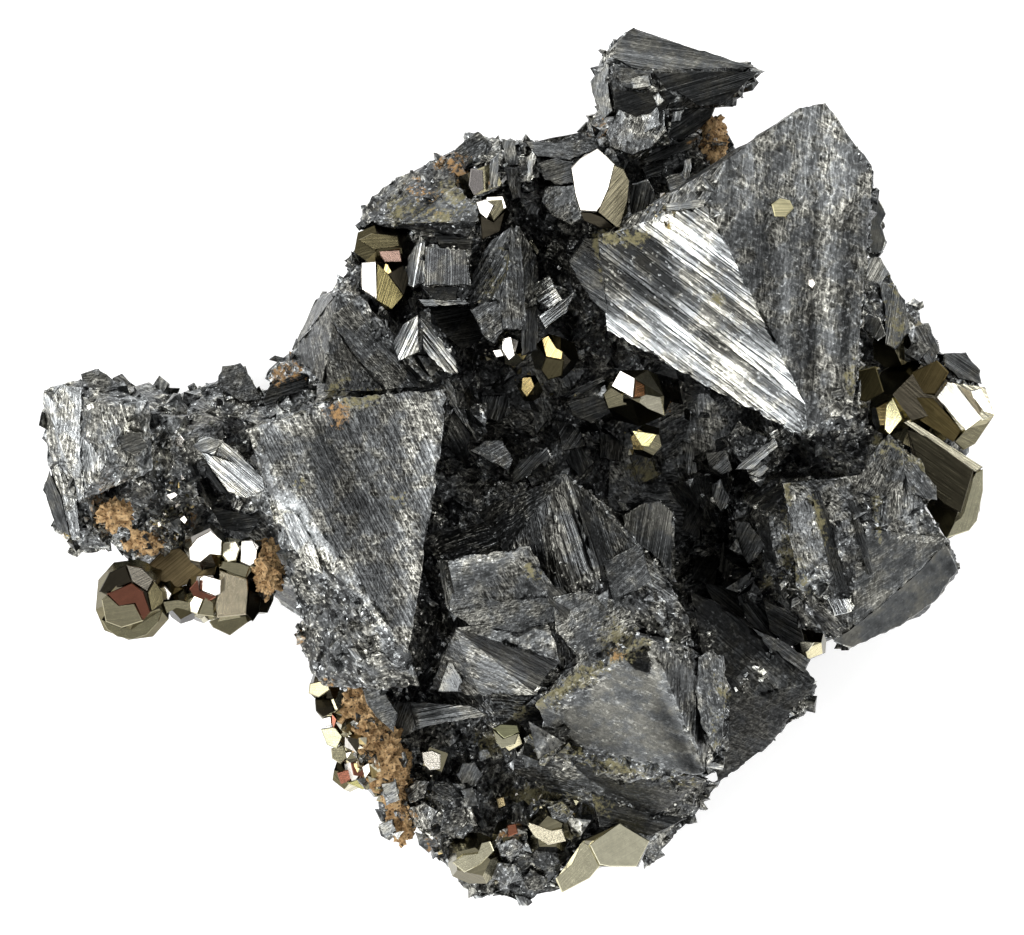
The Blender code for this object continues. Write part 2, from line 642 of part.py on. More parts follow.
def notched_bodies():
    """The notched triangular crystal right of the stepped block."""
    return [
        hull([
            (0.1, 24.5, 27.5), (-4.4, 17.6, 24.0), (-1.2, 16.6, 28.0), (2.4, 17.0, 23.0),
            (2.2, 21.0, 24.0), (1.8, 13.6, 20.0), (-2.5, 12.5, 21.0), (0.0, 18.0, 7.0),
        ]),
    ]


def inner_left_bodies():
    """The bright-edged tetrahedron below the stepped block."""
    return [
        hull([
            (-8.7, 16.3, 24.5), (-9.4, 13.8, 27.0), (-12.1, 12.1, 24.0), (-9.7, 11.4, 25.0),
            (-5.4, 9.7, 21.0), (-6.9, 13.6, 23.5), (-8.5, 12.5, 12.0),
        ]),
    ]


def inner_right_bodies():
    """The two-faceted silver crystal right of the notched one."""
    return [
        hull([
            (1.9, 18.3, 22.5), (3.3, 19.0, 23.5), (6.3, 17.2, 21.5), (6.0, 15.6, 20.5),
            (3.0, 14.2, 20.5), (2.6, 16.6, 23.5), (4.0, 17.0, 12.0),
        ]),
    ]


def right_rim_bodies():
    """The lobes and blades behind the largest crystal's right side."""
    return [
        hull([
            (35.2, 27.4, 17.0), (36.5, 27.0, 17.0), (37.3, 25.2, 15.5), (37.4, 22.6, 15.0),
            (36.3, 20.9, 15.0), (34.0, 22.0, 20.0), (33.0, 24.0, 8.0),
        ]),
        hull([
            (36.4, 20.6, 16.0), (37.6, 19.5, 15.5), (37.4, 15.0, 19.0), (36.8, 12.6, 19.0),
            (34.8, 14.0, 21.0), (34.6, 20.0, 20.0), (34.0, 17.0, 8.0),
        ]),
        hull([
            (38.0, 18.4, 15.0), (39.4, 17.0, 14.5), (40.8, 14.6, 14.0), (43.0, 11.6, 13.5),
            (42.6, 9.4, 16.0), (39.6, 12.6, 18.0), (38.0, 14.0, 7.0),
        ]),
        hull([
            (42.4, 11.4, 13.5), (45.5, 10.6, 13.5), (47.2, 8.4, 14.0), (47.4, 7.0, 15.0),
            (44.0, 8.6, 17.0), (43.0, 8.0, 7.0),
        ]),
    ]


def foot_bodies():
    """The rounded lumps at the foot."""
    return [
        hull([
            (-10.8, -31.0, 16.0), (-5.0, -31.6, 18.5), (-3.6, -36.0, 17.5), (-7.6, -39.9, 12.0),
            (-10.6, -36.6, 12.5), (-6.0, -35.0, 3.0),
        ]),
        hull([
            (-1.6, -36.6, 17.0), (1.6, -33.4, 17.0), (6.7, -33.4, 15.5), (6.9, -37.6, 14.0),
            (5.0, -42.6, 9.0), (1.2, -44.1, 8.5), (-2.6, -43.1, 9.0), (-3.6, -39.8, 13.0),
            (2.0, -38.0, 2.5),
        ]),
        hull([
            (-14.0, -32.8, 11.0), (-12.4, -31.6, 12.5), (-10.0, -34.0, 13.0), (-9.6, -37.2, 11.0),
            (-13.2, -37.1, 9.0), (-14.0, -34.8, 9.5), (-11.0, -34.0, 3.0),
        ]),
        hull([
            (-6.4, -40.6, 10.0), (-3.2, -40.0, 12.0), (-2.0, -43.0, 9.0), (-4.2, -43.7, 8.0),
            (-5.8, -42.8, 8.0), (-3.5, -40.0, 3.0),
        ]),
    ]


def limonites(specimen):
    """The brown crusts that fill the seams between the crystals."""

    def add(name, *bodies):
        specimen.add(name, "limonite", *bodies)

    add(
        "limonite_lower_left",
        lump((-15.2, -24.6, 18.4), (5.2, 8.4, 7.0), 3),
        lump((-13.0, -29.6, 17.0), (5.4, 7.6, 7.0), 5),
        lump((-11.6, -34.2, 14.0), (3.6, 7.6, 6.5), 8),
        lump((-8.8, -38.2, 11.0), (4.0, 5.4, 4.6), 11),
    )
    add(
        "limonite_left",
        lump((-24.9, -9.9, 18.6), (4.0, 6.4, 7.0), 21),
        lump((-23.4, -15.4, 17.0), (5.4, 5.6, 7.0), 24),
    )
    add("limonite_far_left", lump((-40.2, -4.6, 18.6), (4.6, 3.4, 4.4), 31))
    add("limonite_arm", lump((-37.2, -7.5, 17.6), (4.6, 2.8, 4.0), 33))
    add("limonite_top", lump((19.8, 33.0, 19.0), (3.2, 5.0, 6.4), 41))


def hollow_bodies():
    """The small crystals that stand in the recess between the large ones."""
    return [
        hull([(-6.8, 8.9, 22.0), (-5.8, 9.2, 22.4), (-2.6, 3.4, 19.6), (-3.6, 2.9, 19.6), (-4.6, 6.0, 8.0)]),
        hull([(-5.0, 2.2, 17.0), (-1.0, 2.4, 17.5), (0.6, -1.0, 15.0), (-3.4, -1.6, 15.0), (-2.0, 1.0, 5.0)]),
        hull([(0.2, 0.0, 18.0), (1.0, -1.4, 17.6), (3.6, 1.9, 18.8), (2.4, 2.2, 19.0), (2.0, 0.6, 7.0)]),
        hull([(4.6, 6.4, 18.0), (10.0, 9.8, 19.6), (10.6, 8.0, 17.0), (6.0, 3.6, 15.0), (8.0, 7.0, 5.0)]),
        hull([(20.6, 2.8, 18.4), (22.0, 5.0, 19.0), (27.8, 1.6, 18.0), (24.6, -1.6, 17.0), (24.0, 1.0, 5.0)]),
        hull([(22.0, 0.2, 20.0), (28.0, 5.4, 22.5), (29.0, 4.2, 22.0), (23.4, -1.2, 19.6), (26.0, 1.0, 7.0)]),
        tetrahedron((15.0, 3.0, 11.0), 7.0, (0.3, 0.2, 0.9), 20),
        tetrahedron((18.6, -2.6, 10.4), 8.0, (-0.3, 0.3, 0.9), 75),
        tetrahedron((10.4, 1.2, 11.4), 6.4, (0.1, -0.5, 0.8), 130),
        tetrahedron((23.2, -6.4, 10.6), 7.6, (-0.4, 0.1, 0.9), 10),
        tetrahedron((19.4, -9.4, 9.8), 6.6, (0.4, 0.3, 0.85), 55),
        tetrahedron((24.6, -12.2, 11.6), 6.8, (-0.2, -0.2, 0.95), 95),
        tetrahedron((6.0, 5.2, 12.6), 6.0, (0.3, 0.1, 0.95), 40),
    ]


MATRIX_MIDDLE_HEIGHT = 5.0
MATRIX_LEAST_REACH = 6.0  # a low lump still reaches this far above and below its middle
# The matrix's lumps: middle x and y, width, length, top, and the seed of its roughness
MATRIX_LUMPS = [
    (-37.0, -0.2, 17.0, 17.5, 18.0, 1),
    (-30.0, -0.2, 20.0, 17.0, 19.5, 2),
    (-19.0, -3.0, 23.0, 24.0, 21.0, 3),
    (-12.6, -15.6, 18.0, 18.0, 19.0, 4),
    (-10.4, -26.4, 13.0, 18.0, 16.0, 5),
    (-3.4, -35.4, 12.0, 13.0, 13.5, 6),
    (4.4, -33.0, 19.0, 17.0, 13.0, 7),
    (2.0, -15.0, 28.0, 26.0, 22.0, 8),
    (14.4, -21.6, 24.0, 22.0, 14.0, 9),
    (9.4, -33.6, 12.0, 12.0, 10.0, 10),
    (31.0, -7.6, 23.0, 17.0, 19.0, 11),
    (36.0, 4.6, 20.0, 19.0, 15.0, 12),
    (30.8, 13.6, 14.0, 18.0, 15.0, 13),
    (24.6, 20.0, 19.0, 22.0, 21.0, 14),
    (13.6, 31.0, 18.0, 15.0, 21.0, 15),
    (2.0, 26.0, 17.0, 13.0, 18.0, 16),
    (-6.8, 22.8, 14.0, 13.0, 19.0, 17),
    (-10.6, 14.0, 15.0, 17.0, 19.0, 18),
    (0.0, 10.0, 26.0, 26.0, 13.0, 19),
    (16.0, 0.0, 30.0, 30.0, 8.0, 20),
    (-5.0, -4.0, 18.0, 18.0, 12.0, 21),
    (-3.0, -25.6, 16.0, 14.0, 15.0, 22),
    (-34.0, -6.6, 12.0, 8.0, 17.0, 23),
    (7.4, 21.0, 11.0, 20.0, 21.5, 24),
]


def matrix_bodies():
    """The rough rock that carries everything, as overlapping lumps."""
    bodies = []
    for x, y, width, length, top, seed in MATRIX_LUMPS:
        reach = max(top - MATRIX_MIDDLE_HEIGHT, MATRIX_LEAST_REACH)
        bodies.append(lump((x, y, top - reach), (width, length, 2 * reach), seed))
    return bodies


def tetrahedrite_mass(specimen):
    """The matrix and every tetrahedrite crystal on it, which grew together as one solid."""
    specimen.add(
        "tetrahedrite_mass",
        "tetrahedrite",
        *matrix_bodies(),
        *upper_right_bodies(),
        *top_bodies(),
        *left_bodies(),
        *centre_bodies(),
        *lower_slope_bodies(),
        *lower_right_bodies(),
        *far_left_bodies(),
        *left_knobs_bodies(),
        *left_blade_bodies(),
        *upper_left_bodies(),
        *ledge_bodies(),
        *saddle_bodies(),
        *inner_block_bodies(),
        *notched_bodies(),
        *inner_left_bodies(),
        *inner_right_bodies(),
        *right_rim_bodies(),
        *foot_bodies(),
        *hollow_bodies(),
    )


def main():
    clear_scene()
    specimen = Specimen()
    pyrites(specimen)
    limonites(specimen)
    tetrahedrite_mass(specimen)


main()
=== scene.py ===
"""The dressed tetrahedrite and pyrite specimen: worn, striated steel-grey crystals on their rough matrix,
brassy pyrite between them, brown limonite in the seams, and the small crystals that cover the rock.

Places are given as they are seen from above, in tenths of a millimetre from the view's upper left
corner, with a height in millimetres over the flat cut that the specimen rests on.
"""

import math
import random

import bmesh
import bpy
import numpy as np
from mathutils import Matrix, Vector, noise
from mathutils.bvhtree import BVHTree


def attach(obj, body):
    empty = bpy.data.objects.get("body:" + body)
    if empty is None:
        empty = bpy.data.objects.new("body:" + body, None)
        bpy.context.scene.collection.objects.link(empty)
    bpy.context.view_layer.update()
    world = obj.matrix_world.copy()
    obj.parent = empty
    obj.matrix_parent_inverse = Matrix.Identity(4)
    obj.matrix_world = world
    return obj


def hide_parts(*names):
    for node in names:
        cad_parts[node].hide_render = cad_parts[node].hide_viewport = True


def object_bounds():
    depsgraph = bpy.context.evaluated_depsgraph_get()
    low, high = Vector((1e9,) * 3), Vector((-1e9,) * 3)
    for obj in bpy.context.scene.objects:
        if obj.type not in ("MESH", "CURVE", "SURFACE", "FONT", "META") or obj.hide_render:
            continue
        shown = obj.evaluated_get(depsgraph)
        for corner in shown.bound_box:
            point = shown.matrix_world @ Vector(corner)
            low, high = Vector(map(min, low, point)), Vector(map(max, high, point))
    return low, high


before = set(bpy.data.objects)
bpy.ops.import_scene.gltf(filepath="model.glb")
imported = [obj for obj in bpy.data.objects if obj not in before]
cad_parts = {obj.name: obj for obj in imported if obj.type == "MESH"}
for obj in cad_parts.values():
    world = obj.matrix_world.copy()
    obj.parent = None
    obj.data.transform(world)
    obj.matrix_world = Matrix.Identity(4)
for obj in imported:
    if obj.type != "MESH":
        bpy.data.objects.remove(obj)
cad_low, cad_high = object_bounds()

MM = 0.001
VIEW_MIDDLE = (516.0, 468.0)  # the part's origin in the view from above
TENTHS = 10.0
HIGH_ABOVE = 90.0  # mm, over the whole specimen
DOWN = Vector((0, 0, -1))

WORN_EDGE = 0.62  # longest mesh edge beside a worn crystal edge, in mm
SEEN_EDGE = 0.88  # on what faces up
COARSE_EDGE = 1.65  # at the sides and below
SEEN_ABOVE = 9.0  # mm, the height from which a face that looks up is divided finely
CRUMB_EDGE = 0.45  # mm, longest mesh edge of the brown crusts
SAME_FACET = math.radians(0.6)
SHARP = math.radians(24)  # an edge that is steeper than this is worn
CHAMFER = 0.10  # mm, the worn edge round each smaller face
CHIP_STEP = 0.55  # mm, between the points of a chipped outline
LINES_FINER = 1.9  # growth lines on the smaller crystals against those on the large ones
HOLD_BACK = 0.3  # mm, how far the rock stays under a face that lies on it
CLEAR_OF_CUT = 1.0  # mm, small crystals grow only above this height

CAMERA_FAR = 1.7
CAMERA_ASIDE = (-0.0004, 0.00005)
VIEW_WIDTH = 0.1024
VIEW_PLANE = 0.022
FLOOR_HALF = 3.0


def spot(right, down, height):
    """A place in the view from above and its height, as a point in mm."""
    return Vector(((right - VIEW_MIDDLE[0]) / TENTHS, (VIEW_MIDDLE[1] - down) / TENTHS, height))


# Materials


class Signal:
    """A shader socket that takes part in Python sums: each operator adds its Math node."""

    def __init__(self, finish, socket):
        self.finish = finish
        self.socket = socket

    def sum(self, operation, first, second):
        return self.finish.node("ShaderNodeMath", {"operation": operation}, {0: first, 1: second})

    def __add__(self, other):
        return self.sum("ADD", self, other)

    def __radd__(self, other):
        return self.sum("ADD", other, self)

    def __sub__(self, other):
        return self.sum("SUBTRACT", self, other)

    def __rsub__(self, other):
        return self.sum("SUBTRACT", other, self)

    def __mul__(self, other):
        return self.sum("MULTIPLY", self, other)

    def __rmul__(self, other):
        return self.sum("MULTIPLY", other, self)

    def least(self, other):
        return self.sum("MINIMUM", self, other)

    def most(self, other):
        return self.sum("MAXIMUM", self, other)

    def held(self):
        """Kept between 0 and 1."""
        return self.most(0.0).least(1.0)

    def size(self):
        return self.sum("ABSOLUTE", self, 0.0)

    def thin_lines(self, narrow):
        """Thin bright lines where a noise passes its middle value."""
        return (1 - ((self - 0.5) * narrow).size()).most(0.0)

    def between(self, low, high):
        """0 below low, 1 above high, and a soft step between them."""
        settings = {"interpolation_type": "SMOOTHSTEP"}
        values = {"Value": self, "From Min": low, "From Max": high}
        return self.finish.node("ShaderNodeMapRange", settings, values)


class Finish:
    """A material that is built up from signals and ends in one Principled shader."""

    def __init__(self, name):
        self.material = bpy.data.materials.new(name)
        self.material.use_nodes = True
        self.tree = self.material.node_tree
        self.shader = self.tree.nodes["Principled BSDF"]

    def node(self, kind, settings=None, values=None, output=0):
        made = self.tree.nodes.new(kind)
        for key, value in (settings or {}).items():
            setattr(made, key, value)
        for key, value in (values or {}).items():
            self.feed(made.inputs[key], value)
        return Signal(self, made.outputs[output])

    def feed(self, socket, value):
        if isinstance(value, Signal):
            self.tree.links.new(value.socket, socket)
        else:
            socket.default_value = value

    def attribute(self, name, output="Fac"):
        return self.node("ShaderNodeAttribute", {"attribute_name": name}, output=output)

    def attributes(self, names):
        return [self.attribute(name) for name in names.split()]

    def place(self):
        """Object coordinates in millimetres."""
        return self.shade(self.node("ShaderNodeTexCoord", output="Object"), 1 / MM)

    def vector(self, x, y, z):
        return self.node("ShaderNodeCombineXYZ", values={0: x, 1: y, 2: z})

    def noise(self, where, scale, detail=3.0, roughness=0.5):
        values = {"Vector": where, "Scale": scale, "Detail": detail, "Roughness": roughness}
        return self.node("ShaderNodeTexNoise", None, values)

    def cells(self, where, scale, output="Distance"):
        return self.node("ShaderNodeTexVoronoi", None, {"Vector": where, "Scale": scale}, output)

    def random_levels(self, cells):
        """A random level for each cell of a cell pattern."""
        colour = Signal(self, cells.socket.node.outputs["Color"])
        return self.node("ShaderNodeSeparateColor", values={0: colour})

    def mix(self, share, first, second):
        return self.node("ShaderNodeMix", {"data_type": "RGBA"}, {0: share, 6: first, 7: second}, 2)

    def shade(self, colour, level):
        """A colour made darker or lighter by a level, or a vector made longer."""
        values = {0: colour, "Scale": level}
        return self.node("ShaderNodeVectorMath", {"operation": "SCALE"}, values)

    def bump(self, height, distance, strength, normal=None):
        values = {"Height": height, "Distance": distance, "Strength": strength}
        if normal is not None:
            values["Normal"] = normal
        return self.node("ShaderNodeBump", None, values)

    def sparkling(self, where, scale, amount):
        """The surface normal, tilted a little in each cell, so that small faces catch the light."""
        tilt = self.cells(where, scale, output="Color")
        tilt = self.node("ShaderNodeVectorMath", {"operation": "SUBTRACT"}, {0: tilt, 1: (0.5, 0.5, 0.5)})
        tilt = self.shade(tilt, amount)
        straight = self.node("ShaderNodeNewGeometry", output="Normal")
        tilt = self.node("ShaderNodeVectorMath", {"operation": "ADD"}, {0: straight, 1: tilt})
        return self.node("ShaderNodeVectorMath", {"operation": "NORMALIZE"}, {0: tilt})

    def ends_in(self, **sockets):
        for name, value in sockets.items():
            self.feed(self.shader.inputs[name.replace("_", " ").title()], value)
        return self.material


OLIVE_POWDER = (0.235, 0.21, 0.10)
RUST_POWDER = (0.36, 0.21, 0.08)
COOL_METAL = (0.95, 0.99, 1.0, 1.0)
WARM_METAL = (1.0, 0.985, 0.88, 1.0)
BROWN_EARTH = (0.30, 0.175, 0.07, 1.0)
OCHRE_EARTH = (0.62, 0.42, 0.21, 1.0)
PALE_EARTH = (0.70, 0.52, 0.31, 1.0)


def steel_grey(name):
    """Tetrahedrite: striated and pitted metal, with powder where an attribute asks for it, and painted
    highlights, painted glints and painted shade.
    """
    paint = Finish(name)
    where = paint.place()
    # shade carries the painted highlights and painted shade of the stretches
    tone, lined, gloss, rough, shade = paint.attributes("tone lined gloss rough shade")
    worn, powder, rust = paint.attributes("worn powder rust")
    across, along, facet = paint.attributes("across along facet_seed")

    # growth lines across each facet, which wander where it is rough, and what crosses them
    mottle = paint.noise(where, 0.35, 3.0, 0.65)
    busy = ((rough - 0.1) * 5.0).held() * (0.35 + mottle.between(0.42, 0.56) * 0.65)
    wander = (paint.noise(where, 0.7, 2.0, 0.6) - 0.5) * (rough * 1.4 - 0.1).most(0.05)
    across = across + wander
    bands = paint.noise(paint.vector(across * 0.9, along * 0.035, facet), 1.0, 3.0, 0.72)
    bands = ((bands - 0.5) * 4.4 + 0.5).held()
    grooves = paint.noise(paint.vector(across * 1.5, along * 0.06, facet + 9.0), 1.0, 1.0, 0.5)
    grooves = ((grooves - 0.5).size() * 14.0).least(1.0)
    stripes = bands * (0.35 + grooves * 0.65)
    crackle = paint.noise(paint.vector(across * 2.2, along * 0.7, facet), 1.0, 1.0, 0.6).thin_lines(9.0)
    slanting = paint.vector(along * 1.9 - across * 0.9, across * 0.4, facet)
    scratches = paint.noise(slanting, 1.0, 1.0, 0.6).thin_lines(10.0)
    grain = paint.noise(where, 2.2, 3.0, 0.7)
    crumbs = grain.thin_lines(8.0)
    pits = paint.cells(where, 1.8)
    flat = paint.random_levels(pits)
    glint = paint.random_levels(paint.cells(where, 4.4))

    # how light the metal is: its tone and growth lines, with painted light and shade from the attributes,
    # painted shade in its pits and painted glints
    along_them = lined.least(1.0)
    worms = crackle * (0.35 + along_them * 0.65) + (scratches * 0.55 + crumbs * 0.5) * (1 - along_them)
    light = tone * (1 + shade).most(0.08)
    light = light * (1 + (stripes - 0.42) * lined * 1.9).most(0.1) * (1.1 - (1 - grooves) * along_them * 0.5)
    detail = (0.30 + worms * worms * 2.0 + (grain - 0.5) * 1.6).most(0.06)
    light = light * (1 + (detail - 1) * (0.10 + busy * 0.9))
    light = light * (((mottle - 0.5) * 2.6).most(-0.6) + 1)
    rocky = ((rough - 0.32) * 1.8).held()
    light = light * (1 + (flat * 1.9 - 0.9) * rocky)
    # the pits are painted darker: painted shade
    pit_shade = (1 - pits.between(0.08, 0.3)) * busy * mottle.between(0.44, 0.56)
    light = light * (1 - pit_shade * 0.8)
    # painted glints: small cells made lighter in the colour
    spark = glint.between(0.84, 0.93) * (0.1 + rough * 1.1) * worms
    light = light + spark * (0.03 + tone * 1.6 + rocky * 0.25)
    # worn edges painted lighter, flecked by the grain: their wear and a painted highlight
    light = light + worn.between(0.55, 0.95) * (0.03 + tone * 1.1) * grain.between(0.42, 0.56)
    light = light.most(0.013).least(0.92)
    metal = paint.shade(paint.mix(mottle.between(0.42, 0.60), COOL_METAL, WARM_METAL), light)

    # the powders that lie on it
    crust = (mottle - 0.5) * 2.0 + (grain - 0.5) * 2.4
    dust = (powder + crust * powder.between(0.0, 0.3)).between(0.36, 0.95) * 0.75
    soil = (rust + crust * rust.between(0.0, 0.3)).between(0.42, 0.9) * 0.85
    colour = paint.mix(dust, metal, paint.shade(OLIVE_POWDER, 0.3 + grain))
    colour = paint.mix(soil, colour, paint.shade(RUST_POWDER, 0.3 + grain * 1.1))
    covered = dust.most(soil)

    roughness = gloss + (grain - 0.5) * 0.2 + rough * 0.06 - spark * 0.2
    roughness = roughness.most(0.10).least(0.9)
    coarse = (grain * (0.4 + rough * 0.9) + crackle * 0.4) * (0.05 + rough * 0.5 + busy * 0.6)
    relief = stripes * lined * 1.4 + coarse
    sparkling = paint.sparkling(where, 4.4, (0.05 + rough * 0.85).least(0.42))
    return paint.ends_in(
        base_color=colour,
        metallic=1 - covered.most(rocky * 0.25) * 0.9,
        roughness=roughness + covered * (0.9 - roughness),
        normal=paint.bump(relief, 0.11 * MM, 1.0, sparkling),
    )


def brassy(name):
    """Pyrite: polished pale brass with fine growth lines, tarnished brown in places."""
    paint = Finish(name)
    where = paint.place()
    tint = paint.attribute("tint", "Color")
    gloss, lined, across, along, facet = paint.attributes("gloss lined across along facet_seed")
    lines = paint.noise(paint.vector(across * 5.0, along * 0.15, facet), 1.0, 2.0, 0.6)
    mottle = paint.noise(where, 1.1, 4.0, 0.6)
    grain = paint.noise(where, 5.0, 4.0, 0.7)
    light = (0.72 + mottle * 0.56) * (1 + (lines - 0.5) * lined * 2.4)
    light = light * (0.86 + grain * 0.28)
    return paint.ends_in(
        base_color=paint.shade(tint, light),
        metallic=1.0,
        roughness=(gloss + (grain - 0.5) * 0.16).most(0.06),
        normal=paint.bump(lines * lined + grain * 0.25, 0.05 * MM, 0.8),
    )


def earthy(name):
    """Limonite: crumbly ochre and rust, matt, with pores painted dark as shade."""
    paint = Finish(name)
    where = paint.place()
    mottle = paint.noise(where, 0.9, 5.0, 0.65)
    grain = paint.noise(where, 4.5, 6.0, 0.75)
    pores = paint.cells(where, 2.6)
    warm = paint.mix(mottle.between(0.4, 0.62), BROWN_EARTH, OCHRE_EARTH)
    pale = paint.mix((grain - 0.1).between(0.45, 0.62), warm, PALE_EARTH)
    # the pores painted darker: painted shade in the hollows
    dark = 1 - (1 - pores.between(0.10, 0.42)) * 0.85
    return paint.ends_in(
        base_color=paint.shade(pale, dark * (0.5 + grain)),
        metallic=0.0,
        roughness=0.82 + grain * 0.15,
        normal=paint.bump(grain + pores * 0.8, 0.22 * MM, 1.0),
    )


STEEL = steel_grey("steel_grey_tetrahedrite")
BRASS = brassy("brassy_pyrite")
EARTH = earthy("earthy_limonite")

# Surfaces


def merged_copy(*nodes):
    """The CAD nodes' surfaces as one mesh whose loose triangles are joined."""
    shape = bmesh.new()
    for node in nodes:
        shape.from_mesh(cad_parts[node].data)
    bmesh.ops.remove_doubles(shape, verts=shape.verts, dist=0.001 * MM)
    return shape


def plain_mesh(name, shape):
    mesh = bpy.data.meshes.new(name)
    shape.to_mesh(mesh)
    shape.free()
    return mesh


def shown(name, mesh, finish):
    """A mesh as a piece of the scene, in one material."""
    mesh.materials.append(finish)
    obj = bpy.data.objects.new(name, mesh)
    bpy.context.scene.collection.objects.link(obj)
    return obj


def number_facets(shape):
    """Gives every face the number of the flat facet that it belongs to, and returns the facets."""
    layer = shape.faces.layers.int.new("facet")
    shape.faces.ensure_lookup_table()
    facets = []
    for face in shape.faces:
        face[layer] = -1
    for start in shape.faces:
        if start[layer] >= 0:
            continue
        start[layer] = len(facets)
        members = [start]
        for face in members:
            for edge in face.edges:
                if len(edge.link_faces) == 2 and edge.calc_face_angle(9.0) < SAME_FACET:
                    for other in edge.link_faces:
                        if other[layer] < 0:
                            other[layer] = start[layer]
                            members.append(other)
        facets.append(members)
    return facets, layer


def facets_at(shape, layer, table):
    """The numbers of the facets at a table's places, each with the rest of its row."""
    tree = BVHTree.FromBMesh(shape)
    shape.faces.ensure_lookup_table()
    chosen = {}
    for right, down, *looks in table:
        index = tree.ray_cast(spot(right, down, HIGH_ABOVE) * MM, DOWN)[2]
        if index is not None:
            chosen[shape.faces[index][layer]] = looks
    return chosen


def divide(shape, edges):
    bmesh.ops.subdivide_edges(shape, edges=edges, cuts=1)
    bmesh.ops.triangulate(shape, faces=[f for f in shape.faces if len(f.verts) > 3])


def split_long_edges(shape, mark):
    """Divides the surface until its edges are short: finest beside a worn edge, coarse where it is unseen."""
    for _ in range(9):
        for vert in shape.verts:
            vert.tag = False
        for edge in shape.edges:
            if edge[mark] > 0.5:
                edge.verts[0].tag = edge.verts[1].tag = True
        long_edges = []
        for edge in shape.edges:
            first, second = edge.verts
            high = first.co.z + second.co.z > 2 * SEEN_ABOVE * MM
            limit = COARSE_EDGE
            if high and any(f.normal.z > 0.2 for f in edge.link_faces):
                limit = WORN_EDGE if first.tag or second.tag else SEEN_EDGE
            if edge.calc_length() > limit * MM:
                long_edges.append(edge)
        if not long_edges:
            break
        divide(shape, long_edges)
        shape.normal_update()


def line_frame(normal, angle):
    """Along and across the growth lines of a facet; the angle is that of the lines in the view."""
    flat = Vector((math.cos(math.radians(angle)), math.sin(math.radians(angle)), 0.0))
    along = flat - normal * flat.dot(normal)
    if along.length < 0.05:
        along = normal.orthogonal()
    along.normalize()
    return along, normal.cross(along)


class FacetFinish:
    """How one facet is finished: its lightness, which also holds painted light and shade, its growth lines and
    its polish.
    """

    def __init__(self, tone, angle=None, lined=0.3, gloss=0.36, rough=0.25):
        self.tone = tone
        self.angle = angle
        self.lined = lined
        self.gloss = gloss
        self.rough = rough


def mesh_points(mesh):
    """The mesh's points in millimetres, one row each."""
    places = np.empty(len(mesh.vertices) * 3)
    mesh.vertices.foreach_get("co", places)
    return places.reshape(-1, 3) / MM


def in_view(mesh):
    """The mesh's points as they lie in the view from above."""
    return mesh_points(mesh)[:, :2]


def upward(mesh):
    """How far the surface looks up at each point, from -1 to 1."""
    normals = np.empty(len(mesh.vertices) * 3)
    mesh.vertices.foreach_get("normal", normals)
    return normals.reshape(-1, 3)[:, 2]


def corner_points(mesh):
    """The number of the point at each corner of each face."""
    corners = np.empty(len(mesh.loops), np.int32)
    mesh.loops.foreach_get("vertex_index", corners)
    return corners


def store(mesh, name, values, domain="POINT"):
    mesh.attributes.new(name, "FLOAT", domain).data.foreach_set("value", np.asarray(values, np.float32))


def store_tints(mesh, tint_of):
    """Stores a colour for each face."""
    colours = []
    for polygon in mesh.polygons:
        colours.extend((*tint_of[polygon.index], 1.0) * len(polygon.vertices))
    mesh.attributes.new("tint", "FLOAT_COLOR", "CORNER").data.foreach_set("color", colours)


def write_facet_finishes(mesh, finishes, facet_of):
    """Stores each face's finish as attributes that the materials read."""
    lengths = np.empty(len(mesh.polygons), np.int32)
    mesh.polygons.foreach_get("loop_total", lengths)
    numbers = np.repeat(np.asarray(facet_of, np.int64), lengths)
    points = mesh_points(mesh)[corner_points(mesh)]
    for name in ("tone", "lined", "gloss", "rough"):
        levels = np.array([getattr(finish, name) for finish, _, _ in finishes])
        store(mesh, name, levels[numbers], "CORNER")
    along = np.array([tuple(direction) for _, direction, _ in finishes])
    across = np.array([tuple(direction) for _, _, direction in finishes])
    store(mesh, "along", (points * along[numbers]).sum(axis=1), "CORNER")
    store(mesh, "across", (points * across[numbers]).sum(axis=1), "CORNER")
    store(mesh, "facet_seed", numbers * 3.71, "CORNER")


def away_from(places, stretch):
    """How far each point is from a stretch (from, to, reach) in the view, where its reach is 1."""
    right, down, right_to, down_to, reach = stretch
    start = np.array(spot(right, down, 0.0).xy)
    run = np.array(spot(right_to, down_to, 0.0).xy) - start
    share = np.clip(((places - start) @ run) / max(run @ run, 1e-9), 0.0, 1.0)
    return np.linalg.norm(places - start - share[:, None] * run, axis=1) / (reach / TENTHS)


def patches(places, stretches):
    """How strongly any of these stretches covers each point, from 0 to 1."""
    most = np.zeros(len(places))
    for stretch in stretches:
        most = np.maximum(most, 1.0 - away_from(places, stretch))
    return most
